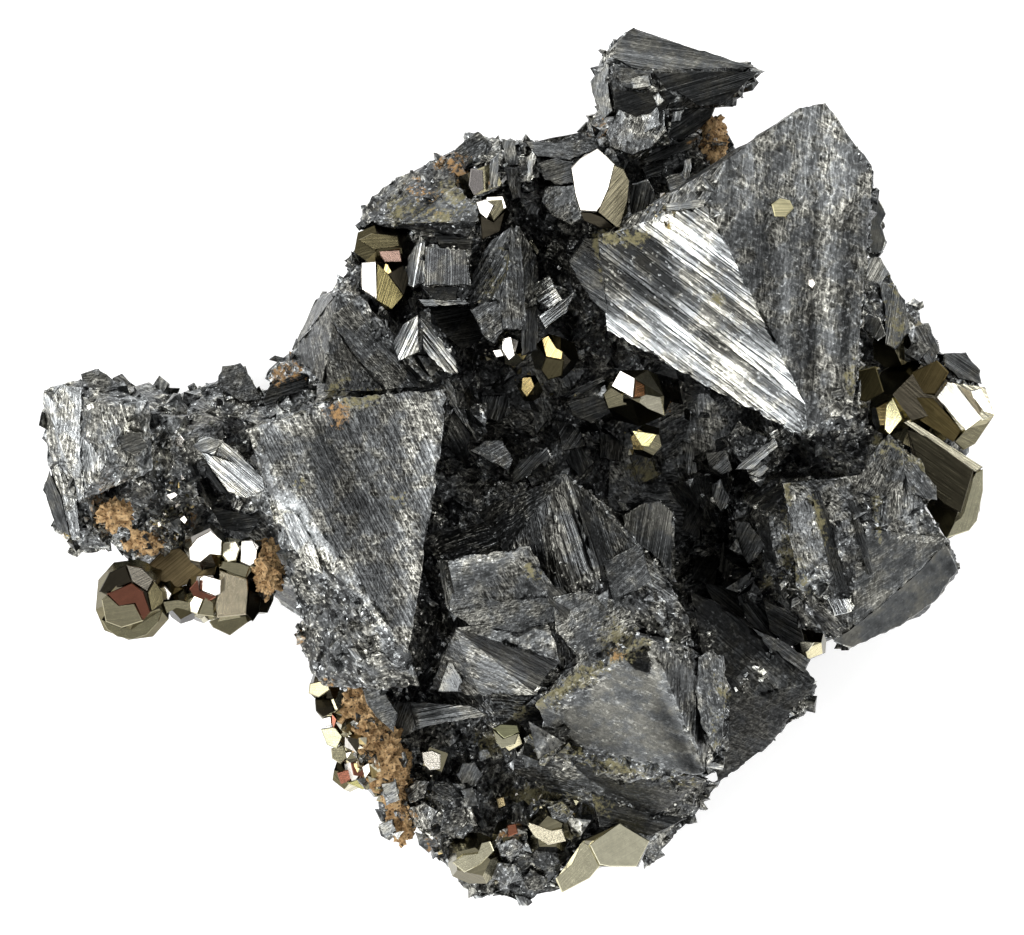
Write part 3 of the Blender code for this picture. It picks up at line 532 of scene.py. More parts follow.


# Facets by a place on them in the view: lightness, angle of the growth lines, how lined, gloss, roughness. The
# lightness is the metal's tone with painted light: facets that face the lamps are given light tones, those that
# look away dark ones.
FACETS = [
    # the largest tetrahedron
    (690, 320, 0.34, -31, 1.0, 0.34, 0.18),
    (800, 250, 0.17, 87, 0.6, 0.36, 0.3),
    (822, 424, 0.10, 60, 0.3, 0.4, 0.3),
    (862, 230, 0.09, 86, 0.4, 0.4, 0.4),
    # the top tetrahedron
    (690, 62, 0.045, -12, 0.4, 0.42, 0.24),
    (610, 80, 0.05, 60, 0.3, 0.4, 0.3),
    (700, 92, 0.045, 20, 0.5, 0.4, 0.24),
    (620, 130, 0.29, 70, 0.8, 0.3, 0.3),
    (655, 130, 0.29, 50, 0.8, 0.3, 0.3),
    # the broad face left of the middle
    (350, 480, 0.06, -62, 0.35, 0.34, 0.26),
    (430, 480, 0.078, -62, 0.4, 0.34, 0.3),
    (390, 640, 0.08, -40, 0.4, 0.38, 0.9),
    # the middle: crest, blocks and peak
    (590, 530, 0.04, -72, 1.0, 0.38, 0.16),
    (525, 500, 0.055, 10, 0.4, 0.4, 0.4),
    (562, 530, 0.06, -72, 1.0, 0.36, 0.2),
    (548, 575, 0.06, -72, 0.8, 0.36, 0.3),
    (480, 570, 0.14, 12, 0.3, 0.32, 0.22),
    (500, 650, 0.045, -32, 0.9, 0.36, 0.18),
    (640, 720, 0.098, -35, 0.05, 0.26, 0.08),
    (690, 690, 0.10, -72, 0.6, 0.3, 0.3),
    (590, 660, 0.06, 40, 0.3, 0.38, 0.3),
    (710, 670, 0.12, -75, 0.5, 0.34, 0.3),
    # the lower slope
    (740, 660, 0.014, -38, 0.4, 0.42, 0.28),
    (780, 690, 0.025, -38, 0.4, 0.42, 0.28),
    (795, 680, 0.025, -38, 0.4, 0.42, 0.28),
    (750, 720, 0.025, -38, 0.4, 0.42, 0.28),
    (720, 770, 0.03, -38, 0.4, 0.42, 0.28),
    (640, 800, 0.03, -12, 0.4, 0.42, 0.28),
    # the crystal at the lower right
    (820, 520, 0.09, -70, 0.4, 0.36, 0.5),
    (900, 540, 0.08, 40, 0.25, 0.36, 0.35),
    (880, 600, 0.10, 30, 0.15, 0.26, 0.2),
    (900, 460, 0.11, 80, 0.7, 0.34, 0.3),
    # the block at the far left and the blade on the arm
    (70, 440, 0.36, -72, 0.8, 0.3, 0.32),
    (120, 440, 0.26, -70, 0.5, 0.3, 0.45),
    (235, 465, 0.45, -35, 0.7, 0.28, 0.2),
    # the dark faces at the upper left
    (360, 350, 0.07, -50, 0.5, 0.4, 0.3),
    (430, 215, 0.16, -8, 0.2, 0.4, 0.5),
    (450, 265, 0.11, 80, 0.3, 0.3, 0.2),
    (500, 260, 0.09, 75, 0.9, 0.34, 0.25),
]

# Stretches in the view, each by where it goes from and to, and its reach

# Powder on the metal
OLIVE_PATCHES = [
    (400, 212, 460, 200, 38), (890, 290, 900, 340, 14), (641, 636, 549, 700, 16), (591, 671, 518, 717, 13),
    (545, 748, 693, 780, 14),
    (545, 744, 480, 745, 18), (785, 484, 787, 545, 8), (765, 580, 793, 580, 15), (810, 498, 826, 540, 8),
    (877, 480, 873, 532, 9), (786, 556, 806, 590, 15), (812, 496, 830, 540, 6), (872, 486, 880, 540, 6),
    (532, 571, 534, 573, 13), (399, 496, 400, 498, 13), (299, 482, 300, 483, 9),
    (330, 396, 372, 398, 16), (640, 470, 650, 474, 20), (870, 380, 900, 400, 36), (716, 298, 717, 299, 11),
    (486, 288, 500, 280, 16),
    (781, 210, 782, 211, 14), (520, 800, 600, 800, 22), (560, 835, 570, 836, 26), (478, 290, 508, 262, 12),
    (725, 690, 716, 745, 8), (600, 236, 640, 240, 14), (380, 268, 396, 300, 14), (880, 440, 930, 470, 10),
]
RUST_PATCHES = [
    (710, 138, 712, 140, 24), (600, 128, 602, 130, 20), (440, 156, 478, 182, 20), (276, 374, 300, 368, 22),
    (100, 500, 112, 520, 26), (140, 545, 150, 548, 26), (188, 520, 190, 524, 18), (262, 565, 270, 590, 18),
    (290, 618, 292, 640, 18), (325, 690, 350, 705, 24), (380, 760, 382, 764, 24), (402, 815, 404, 818, 22),
    (418, 190, 432, 200, 22), (925, 376, 930, 396, 24), (612, 655, 618, 652, 12), (336, 407, 340, 420, 18),
    (430, 850, 434, 852, 18), (505, 835, 520, 828, 14), (652, 395, 664, 404, 12),
]
# Painted highlights and painted shade, with some stains: where the metal is painted lighter or darker, with how
# much after the reach
PAINTED_LIGHT_STRETCHES = [
    # the bright face of the largest crystal
    (596, 250, 640, 262, 34, -0.75), (600, 292, 650, 300, 30, -0.6), (655, 275, 700, 330, 34, -0.55),
    (715, 345, 745, 392, 20, -0.5), (664, 226, 704, 250, 12, 1.8),
    (690, 232, 745, 330, 16, -0.45), (612, 332, 780, 432, 16, 0.6),
    (622, 300, 740, 372, 9, 0.7), (640, 345, 770, 420, 6, -0.5),
    # its dark face
    (800, 112, 812, 190, 36, 1.0), (838, 130, 846, 190, 22, 0.8), (745, 150, 745, 215, 16, 0.6),
    (760, 220, 765, 330, 18, -0.35), (800, 330, 795, 410, 26, -0.3), (830, 240, 826, 400, 10, 0.5),
    (846, 180, 842, 380, 8, -0.6), (812, 190, 806, 390, 6, -0.6), (780, 230, 782, 400, 6, 0.7),
    # the broad face left of the middle
    (290, 512, 312, 556, 20, 2.2), (262, 425, 310, 406, 18, 1.4), (330, 430, 350, 520, 34, -0.5),
    (420, 420, 426, 500, 18, 0.9), (408, 520, 412, 620, 12, 0.8), (330, 560, 380, 640, 26, 0.3),
    (380, 560, 400, 610, 20, -0.4), (372, 640, 402, 676, 22, 0.7), (440, 395, 430, 470, 5, 1.0),
    # the middle
    (452, 566, 520, 552, 10, 0.7), (470, 590, 520, 600, 18, -0.2), (566, 480, 596, 580, 8, 0.8),
    (584, 500, 600, 560, 10, -0.6), (450, 640, 540, 690, 8, 0.7), (470, 634, 545, 668, 6, -0.5),
    (610, 690, 660, 760, 30, 0.35), (560, 730, 620, 770, 26, -0.45), (660, 730, 690, 760, 18, -0.4),
    (656, 706, 668, 716, 9, -0.4), (676, 735, 690, 765, 12, -0.35), (640, 640, 700, 760, 6, 1.2),
    (664, 660, 706, 740, 6, -0.5), (640, 580, 664, 600, 16, 1.0),
    # the top
    (610, 50, 660, 62, 14, 0.7), (660, 64, 740, 66, 6, 1.0), (610, 34, 640, 34, 14, -0.3),
    # the lower slope and the crystal at the right
    (716, 640, 790, 690, 8, 0.9), (700, 660, 740, 740, 20, -0.3), (800, 500, 812, 570, 12, 0.8),
    (858, 520, 866, 570, 10, 0.5), (905, 520, 880, 600, 20, 0.3), (920, 560, 860, 630, 12, 0.4),
    (600, 234, 650, 242, 18, -0.45),
    # the ledge and the dark faces below it
    (370, 206, 470, 226, 14, -0.4), (390, 235, 470, 242, 8, 0.8),
]
# Where the large crystals are broken and rough
ROUGH_STRETCHES = [
    (300, 640, 400, 690, 42), (330, 655, 410, 670, 30), (540, 606, 650, 606, 24), (612, 652, 560, 700, 13),
    (560, 750, 690, 785, 13), (590, 800, 640, 830, 22), (480, 735, 560, 760, 22), (640, 600, 700, 640, 24),
    (770, 585, 800, 600, 24), (820, 500, 846, 590, 13), (262, 420, 330, 398, 10), (600, 590, 640, 620, 26),
    (700, 640, 716, 750, 8), (580, 590, 584, 604, 12), (430, 540, 440, 620, 10), (868, 170, 850, 120, 9),
    (845, 400, 800, 436, 12), (640, 60, 600, 40, 8), (300, 580, 330, 620, 16),
]
# Where small crystals stand close together in the hollows
RECESS_STRETCHES = [
    (450, 370, 550, 424, 42), (570, 412, 700, 436, 36), (640, 390, 740, 470, 34), (690, 500, 740, 590, 32),
    (480, 330, 560, 380, 30), (600, 180, 700, 200, 26), (400, 300, 420, 350, 24), (640, 500, 700, 520, 24),
    (890, 300, 920, 360, 26), (510, 160, 560, 200, 26), (880, 250, 890, 290, 20), (400, 720, 560, 740, 20),
    (480, 790, 590, 830, 26), (150, 420, 190, 520, 26), (110, 400, 180, 410, 20), (600, 600, 660, 630, 14),
]
# Where bright broken edges sparkle: the small crystals there are given light tones, as painted glints
SPARKLE_STRETCHES = [
    (600, 600, 655, 640, 20), (612, 640, 625, 655, 10), (545, 690, 560, 702, 10), (560, 570, 590, 612, 13),
    (60, 400, 150, 470, 34), (110, 520, 130, 540, 16), (150, 430, 250, 430, 22), (300, 420, 330, 400, 10),
    (330, 590, 400, 640, 14), (405, 790, 460, 840, 22), (500, 860, 560, 890, 22), (712, 690, 720, 740, 8),
    (380, 235, 470, 250, 10), (560, 340, 640, 360, 26), (470, 420, 520, 430, 20), (700, 480, 730, 500, 20),
    (870, 300, 930, 370, 18), (740, 690, 790, 640, 10), (440, 560, 450, 610, 6), (450, 370, 480, 400, 14),
    (500, 150, 560, 200, 16), (620, 110, 660, 140, 10), (396, 690, 470, 720, 12), (840, 640, 850, 600, 8),
    (465, 175, 500, 170, 10), (630, 655, 650, 668, 6),
]
# Where tiny pyrite crystals glitter
GLITTER_PATCHES = [
    (166, 470, 184, 500, 13), (165, 528, 188, 572, 26), (60, 520, 66, 540, 8), (640, 188, 664, 216, 14),
    (318, 690, 352, 780, 14), (470, 300, 500, 330, 8), (520, 790, 570, 820, 16), (440, 860, 500, 880, 12),
    (555, 340, 570, 360, 12), (400, 262, 412, 300, 9), (880, 372, 936, 392, 18), (622, 436, 652, 440, 14),
    (480, 345, 560, 400, 14), (395, 770, 430, 800, 14), (180, 600, 190, 620, 12), (700, 138, 716, 150, 8),
]
# Where they stand close together on the brown crusts
PYRITE_SEAM = (312, 688, 356, 792, 30)


def painted_light_at(places):
    """How much lighter or darker the metal is painted at these points, 0 where it is as its facet says: painted
    highlights and painted shade, with some stains.
    """
    total = np.zeros(len(places))
    for *stretch, change in PAINTED_LIGHT_STRETCHES:
        total += change * np.clip(1.25 - away_from(places, stretch), 0.0, 1.0)
    return np.clip(total, -0.85, 2.5)


def soil_and_painted_light(mesh):
    """Stores where a steel piece is dusty, rusty, and painted lighter and darker: painted highlights and
    painted shade, with some stains.
    """
    flat = in_view(mesh)
    up = np.clip(upward(mesh), 0.0, 1.0)
    store(mesh, "powder", patches(flat, OLIVE_PATCHES) * (0.1 + 0.9 * up))
    store(mesh, "rust", patches(flat, RUST_PATCHES) * (0.1 + 0.9 * up))
    # the painted highlights and painted shade, only where the surface looks up
    store(mesh, "shade", painted_light_at(flat) * (up > 0.1))


# The large crystals and their rock


def rock_finishes(facets, chosen):
    """A finish for every facet of the mass: as its table says, or as its size and side suggest."""
    chance = random.Random(7)
    finishes = []
    for number, members in enumerate(facets):
        area = sum(f.calc_area() for f in members) / MM**2
        normal = members[0].normal.copy()
        dice = (chance.random(), chance.random(), chance.random())
        if normal.z < -0.9:
            finish = FacetFinish(0.12, 25, 0.2, 0.5, 0.12)
        elif number in chosen:
            finish = FacetFinish(*chosen[number])
        else:
            rock = max(0.0, min(1.0, (26.0 - area) / 16.0))
            # facets that face left, towards the left softbox, are painted lighter as painted light; those at
            # the left end are lighter as well
            tone = (0.04 + 0.08 * dice[0]) * (1.0 + 0.4 * (normal.x < -0.3))
            if members[0].calc_center_median().x < spot(290, 0, 0).x * MM:
                tone *= 1.5
            lined = 0.15 + 0.5 * dice[1] * (1 - rock)
            finish = FacetFinish(tone, None, lined, 0.38, 0.35 + 0.65 * rock)
        angle = finish.angle if finish.angle is not None else dice[2] * 180.0
        finishes.append((finish, *line_frame(normal, angle)))
    return finishes


def worn_and_craggy(shape, layer, mark, finishes, broken):
    """Moves the points of the mass: crags where it is rough, chips along its edges, a ripple all over."""
    moves = []
    worn = []
    for vert in shape.verts:
        craggy = sum(finishes[f[layer]][0].rough for f in vert.link_faces) / len(vert.link_faces)
        craggy = max(0.0, (craggy - 0.3) / 0.7, broken[vert.index] * 0.6)
        edge_here = any(e[mark] > 0.5 for e in vert.link_edges)
        place = vert.co / MM
        lift = 0.0
        if craggy > 0.02:
            cells = noise.voronoi(place * 0.42)[0]
            small = noise.voronoi(place * 0.95 + Vector((7, 3, 5)))[0]
            lift = craggy * ((cells[1] - cells[0]) * 1.15 + (small[1] - small[0]) * 0.5 - 0.75)
        chip = 0.0
        if edge_here:
            chip = -0.9 * max(0.0, noise.noise(place * 0.55)) - 0.45 * max(0.0, noise.noise(place * 1.9))
        ripple = 0.05 * noise.noise(place * 1.3)
        moves.append(vert.normal * (lift + chip + ripple) * MM)
        worn.append(1.0 if edge_here else 0.0)
    for vert, move in zip(shape.verts, moves):
        if vert.co.z > 0.05 * MM:
            vert.co += move
            for axis in range(3):
                vert.co[axis] = max(cad_low[axis], min(cad_high[axis], vert.co[axis]))
    return worn


def dressed_rock():
    """The whole tetrahedrite mass, divided finely, craggy where it is rock and worn at its edges."""
    shape = merged_copy("tetrahedrite_mass")
    facets, layer = number_facets(shape)
    finishes = rock_finishes(facets, facets_at(shape, layer, FACETS))
    mark = shape.edges.layers.float.new("sharpness")
    for edge in shape.edges:
        sharp = len(edge.link_faces) == 2 and edge.calc_face_angle(0.0) > SHARP
        edge[mark] = 1.0 if sharp else 0.0
    split_long_edges(shape, mark)

    shape.verts.ensure_lookup_table()
    shape.verts.index_update()
    shape.normal_update()
    flat = np.array([vert.co[:2] for vert in shape.verts]) / MM
    broken = np.clip(patches(flat, ROUGH_STRETCHES) * 2.2, 0.0, 0.95)
    worn = worn_and_craggy(shape, layer, mark, finishes, broken)
    facet_of = [f[layer] for f in shape.faces]

    mesh = plain_mesh("rock", shape)
    write_facet_finishes(mesh, finishes, facet_of)
    soil_and_painted_light(mesh)
    # the worn edges, which the steel paints lighter: their wear and a painted highlight
    store(mesh, "worn", worn)
    corners = corner_points(mesh)
    rough = np.empty(len(mesh.loops), np.float32)
    mesh.attributes["rough"].data.foreach_get("value", rough)
    rough = np.maximum(rough, broken[corners])
    mesh.attributes["rough"].data.foreach_set("value", rough)
    craggy = np.zeros(len(mesh.vertices))
    np.maximum.at(craggy, corners, rough)
    store(mesh, "craggy", craggy)
    return shown("tetrahedrite_rock", mesh, STEEL)


# Small crystals, strewn by Geometry Nodes


def crystal_shape(name, corners, tones=(0.03, 0.2), tints=None):
    """A small crystal one millimetre across, for strewing: steel, or pyrite where it has tints."""
    shape = bmesh.new()
    for corner in corners:
        shape.verts.new(Vector(corner) * MM)
    bmesh.ops.convex_hull(shape, input=shape.verts)
    bmesh.ops.recalc_face_normals(shape, faces=shape.faces)
    finishes = []
    tint_of = []
    chance = random.Random(len(corners) * 17 + len(name))
    for face in shape.faces:
        along, across = line_frame(face.normal, chance.uniform(0, 180))
        finishes.append((FacetFinish(chance.uniform(*tones), None, 0.5, 0.3, 0.4), along, across))
        if tints:
            tint_of.append(chance.choice(tints))
    mesh = plain_mesh(name, shape)
    write_facet_finishes(mesh, finishes, list(range(len(finishes))))
    if tints:
        store_tints(mesh, tint_of)
    mesh.materials.append(BRASS if tints else STEEL)
    return bpy.data.objects.new(name, mesh)


def scatter_tree():
    """Small crystals strewn over a surface where an attribute says so."""
    tree = bpy.data.node_groups.new("small_crystals", "GeometryNodeTree")
    ids = {}
    for name, kind, default in (
        ("Surface", "Geometry", None),
        ("Crystals", "Collection", None),
        ("Per square mm", "Float", 0.5),
        ("Least size", "Float", 0.5),
        ("Greatest size", "Float", 1.5),
        ("Seed", "Int", 1),
        ("Finish", "Material", None),
    ):
        socket = tree.interface.new_socket(name=name, in_out="INPUT", socket_type="NodeSocket" + kind)
        if default is not None:
            socket.default_value = default
        ids[name] = socket.identifier
    tree.interface.new_socket(name="Crystals only", in_out="OUTPUT", socket_type="NodeSocketGeometry")

    def node(kind, settings=None, values=None):
        made = tree.nodes.new(kind)
        for key, value in (settings or {}).items():
            setattr(made, key, value)
        for key, value in (values or {}).items():
            if isinstance(value, bpy.types.NodeSocket):
                tree.links.new(value, made.inputs[key])
            else:
                made.inputs[key].default_value = value
        return made

    def sum_of(operation, first, second):
        return node("ShaderNodeMath", {"operation": operation}, {0: first, 1: second}).outputs[0]

    given = node("NodeGroupInput").outputs
    where = node("GeometryNodeInputNamedAttribute", {"data_type": "FLOAT"}, {"Name": "strewn"})
    density = sum_of("MULTIPLY", given["Per square mm"], 1.0 / MM**2)
    density = sum_of("MULTIPLY", density, where.outputs[0])
    points = node(
        "GeometryNodeDistributePointsOnFaces",
        {"distribute_method": "RANDOM"},
        {"Mesh": given["Surface"], "Density": density, "Seed": given["Seed"]},
    )
    kinds = node(
        "GeometryNodeCollectionInfo",
        {"transform_space": "ORIGINAL"},
        {"Collection": given["Crystals"], "Separate Children": True, "Reset Children": True},
    )
    turn = node(
        "FunctionNodeRandomValue",
        {"data_type": "FLOAT_VECTOR"},
        {"Max": (6.283, 6.283, 6.283), "Seed": given["Seed"]},
    )
    dice = node("FunctionNodeRandomValue", {"data_type": "FLOAT"}, {"Seed": given["Seed"]})
    mostly_small = sum_of("POWER", dice.outputs["Value"], 2.2)
    spread = sum_of("SUBTRACT", given["Greatest size"], given["Least size"])
    size = sum_of("ADD", sum_of("MULTIPLY", mostly_small, spread), given["Least size"])
    planted = node(
        "GeometryNodeInstanceOnPoints",
        {},
        {
            "Points": points.outputs["Points"],
            "Instance": kinds.outputs[0],
            "Pick Instance": True,
            "Rotation": turn.outputs["Value"],
            "Scale": size,
        },
    )
    real = node("GeometryNodeRealizeInstances", {}, {0: planted.outputs[0]})
    done = node("GeometryNodeSetMaterial", {}, {0: real.outputs[0], "Material": given["Finish"]})
    tree.links.new(done.outputs[0], node("NodeGroupOutput").inputs[0])
    return tree, ids


SCATTER, SCATTER_IDS = scatter_tree()


def hidden_group(name, objects):
    group = bpy.data.collections.new(name)
    for obj in objects:
        group.objects.link(obj)
    return group


def strewn(name, host, crystals, per_square, least, greatest, seed, finish):
    """Small crystals over a host surface, as one plain mesh."""
    carrier = host.copy()
    carrier.data = host.data.copy()
    carrier.name = name
    bpy.context.scene.collection.objects.link(carrier)
    live = carrier.modifiers.new("small_crystals", "NODES")
    live.node_group = SCATTER
    for key, value in {
        "Crystals": crystals,
        "Per square mm": per_square,
        "Least size": least,
        "Greatest size": greatest,
        "Seed": seed,
        "Finish": finish,
    }.items():
        live[SCATTER_IDS[key]] = value
    graph = bpy.context.evaluated_depsgraph_get()
    plain = bpy.data.meshes.new_from_object(carrier.evaluated_get(graph))
    carrier.modifiers.remove(live)
    old = carrier.data
    carrier.data = plain
    bpy.data.meshes.remove(old)
    plain.materials.clear()
    plain.materials.append(finish)
    return carrier


def keep_in_box(obj):
    """Pulls what stands out of the part's own box back to its sides."""
    places = np.clip(mesh_points(obj.data) * MM, tuple(cad_low), tuple(cad_high))
    obj.data.vertices.foreach_set("co", places.ravel())
    obj.data.update()


def kept(obj, slot, *nodes):
    """A finished piece: it rides on the part's one body and may stand for CAD nodes."""
    keep_in_box(obj)
    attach(obj, "root")
    if nodes:
        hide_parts(*nodes)


# The pyrite and the brown crusts

# Pyrite colours: pale and gold are its brass; khaki, olive and red its tarnish, which on faces that look away
# from the lamps stands also for painted shade; the white is a painted highlight and the dark painted shade.
PAINTED_HIGHLIGHT_BRASS = (0.62, 0.59, 0.54)
PALE = (0.55, 0.52, 0.40)
KHAKI = (0.30, 0.275, 0.18)
GOLD = (0.40, 0.31, 0.14)
OLIVE = (0.115, 0.10, 0.055)
RED = (0.21, 0.085, 0.055)
PAINTED_SHADE_BRASS = (0.04, 0.035, 0.025)

# Pyrite facets by a place on them in the view: colour, angle of the lines, how lined. The colour holds painted
# light: faces that catch the lamps are white, those that look away dark.
PYRITE_FACETS = [
    (590, 180, PAINTED_HIGHLIGHT_BRASS, 80, 0.2), (618, 195, KHAKI, 84, 1.0), (600, 218, PAINTED_SHADE_BRASS, 0, 0.2),
    (367, 282, PAINTED_HIGHLIGHT_BRASS, 80, 0.2), (390, 285, GOLD, 75, 1.0), (378, 240, OLIVE, 0, 0.5),
    (130, 600, RED, 30, 0.2), (130, 630, KHAKI, 20, 0.4), (108, 618, KHAKI, 20, 0.4),
    (108, 580, PAINTED_SHADE_BRASS, 30, 0.3), (130, 578, OLIVE, 30, 0.3), (150, 590, PAINTED_SHADE_BRASS, 30, 0.3),
    (206, 548, PAINTED_HIGHLIGHT_BRASS, 0, 0.1), (230, 552, KHAKI, 0, 0.2), (247, 552, PAINTED_HIGHLIGHT_BRASS, 0, 0.1),
    (233, 568, KHAKI, 0, 0.2), (209, 586, PAINTED_HIGHLIGHT_BRASS, 0, 0.1), (200, 604, KHAKI, 0, 0.3),
    (102, 606, OLIVE, 20, 0.3), (100, 614, OLIVE, 20, 0.3), (110, 630, OLIVE, 20, 0.3),
    (154, 622, OLIVE, 20, 0.3),
    (160, 606, OLIVE, 20, 0.3), (140, 636, OLIVE, 20, 0.3),
    (231, 595, PALE, 0, 0.1), (228, 626, KHAKI, 0, 0.2), (254, 606, PAINTED_SHADE_BRASS, 0, 0.2),
    (620, 845, PALE, 20, 0.15), (572, 870, KHAKI, 40, 0.3), (472, 858, KHAKI, 20, 0.3),
    (545, 832, KHAKI, 20, 0.4), (960, 405, PALE, -35, 1.0), (965, 438, KHAKI, -35, 0.7),
    (935, 470, PAINTED_SHADE_BRASS, -35, 0.6), (968, 505, KHAKI, 60, 0.5), (893, 415, GOLD, 0, 0.3),
    (508, 738, KHAKI, 20, 0.3), (431, 760, KHAKI, 0, 0.1), (620, 384, PAINTED_HIGHLIGHT_BRASS, 70, 0.6),
    (650, 402, KHAKI, 10, 0.3), (645, 438, GOLD, 30, 0.3), (552, 348, GOLD, 60, 0.5),
    (508, 350, PAINTED_HIGHLIGHT_BRASS, 60, 0.3), (490, 210, PAINTED_HIGHLIGHT_BRASS, 40, 0.3), (477, 182, KHAKI, 0, 0.3),
    (800, 645, KHAKI, 0, 0.3), (359, 770, RED, 0, 0.2), (350, 770, PAINTED_HIGHLIGHT_BRASS, 0, 0.2),
]
PYRITE_NODES = [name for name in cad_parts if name.startswith("pyrite_")]
LIMONITE_NODES = [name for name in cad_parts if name.startswith("limonite_")]


def pyrite_crystals():
    """Every pyrite crystal of the part, with a finish of its own on each face."""
    shape = merged_copy(*PYRITE_NODES)
    facets, layer = number_facets(shape)
    chosen = facets_at(shape, layer, PYRITE_FACETS)
    chance = random.Random(11)
    finishes, tints = [], []
    for number, members in enumerate(facets):
        tint = chance.choice((PALE, KHAKI, KHAKI, OLIVE, OLIVE, PAINTED_SHADE_BRASS, PAINTED_SHADE_BRASS))
        if members[0].calc_center_median().x > spot(845, 0, 0).x * MM:
            tint = chance.choice((KHAKI, OLIVE, OLIVE, PAINTED_SHADE_BRASS))
        tint, angle, lined = chosen.get(number, (tint, chance.uniform(0, 180), chance.uniform(0.1, 0.7)))
        # faces that look sideways or down are painted darker: painted shade
        if members[0].normal.z < 0.4:
            tint = tuple(level * 0.5 for level in tint)
        along, across = line_frame(members[0].normal.copy(), angle)
        finishes.append((FacetFinish(0.5, angle, lined, 0.17, 0.1), along, across))
        tints.append(tint)
    facet_of = [f[layer] for f in shape.faces]
    mesh = plain_mesh("pyrite_crystals", shape)
    write_facet_finishes(mesh, finishes, facet_of)
    store_tints(mesh, [tints[number] for number in facet_of])
    return shown("pyrite_crystals", mesh, BRASS)


def limonite_crusts():
    """The brown crusts, divided and roughened into crumbs."""
    shape = merged_copy(*LIMONITE_NODES)
    for _ in range(6):
        long_edges = [e for e in shape.edges if e.calc_length() > CRUMB_EDGE * MM]
        if not long_edges:
            break
        divide(shape, long_edges)
    shape.normal_update()
    moves = []
    for vert in shape.verts:
        place = vert.co / MM
        cells = noise.voronoi(place * 0.9)[0]
        rough = noise.fractal(place * 1.1, 0.6, 2.0, 4)
        moves.append(vert.normal * MM * (rough * 0.6 + (cells[1] - cells[0]) * 1.0 - 0.6))
    for vert, move in zip(shape.verts, moves):
        vert.co += move
    return shown("limonite_crusts", plain_mesh("limonite_crusts", shape), EARTH)


# The smaller crystals, face by face


class Face:
    """One visible face of a smaller crystal, by its corners in the view.

    It leans towards an angle in the view by some degrees, and stands rise mm over the CAD surface.
    A steel face has a lightness as its tone, a pyrite face a colour. Both hold painted light: faces that lean
    towards the lamps are given light tones and colours, those that look away dark ones.
    """

    def __init__(
        self, corners, tone, lean=(180, 10), angle=None, lined=0.4, gloss=0.32, rise=0.5, depth=2.5, rough=0.15
    ):
        self.corners = corners
        self.tone = tone
        self.turn = math.radians(lean[0])
        self.steep = math.tan(math.radians(lean[1]))
        self.angle = angle
        self.lined = lined
        self.gloss = gloss
        self.rise = rise
        self.depth = depth
        self.rough = rough


def cad_surface(*nodes):
    shape = merged_copy(*nodes)
    tree = BVHTree.FromBMesh(shape)
    shape.free()
    return tree


def height_under(tree, point):
    """How high the CAD surface is at a place in the view, in mm."""
    hit = tree.ray_cast(Vector((point.x * MM, point.y * MM, HIGH_ABOVE * MM)), DOWN)[0]
    return hit.z / MM if hit is not None else None


def placed(face, tree):
    """The face's corners in mm, on a leaning plane over the CAD surface."""
    flat = [spot(right, down, 0.0) for right, down in face.corners]
    middle = sum(flat, Vector()) / len(flat)
    found = [height_under(tree, p) for p in [*(middle.lerp(p, 0.8) for p in flat), middle, middle]]
    found = sorted(h for h in found if h is not None) or [12.0]
    upper = found[len(found) // 3:]
    base = sum(upper) / len(upper) + face.rise
    fall = Vector((math.cos(face.turn), math.sin(face.turn), 0.0)) * face.steep
    return [Vector((p.x, p.y, base - (p - middle).dot(fall))) for p in flat]


def chipped(outline, chance):
    """The outline with a point every half millimetre, each knocked in or out a little in its plane."""
    made = []
    for first, second in zip(outline, outline[1:] + outline[:1]):
        run = second - first
        steps = max(1, round(run.length / CHIP_STEP))
        aside = Vector((run.y, -run.x, 0.0)).normalized()
        made.append(first + aside * chance.uniform(-0.05, 0.05))
        for step in range(1, steps):
            made.append(first + run * (step / steps) + aside * chance.uniform(-0.11, 0.07))
    return made


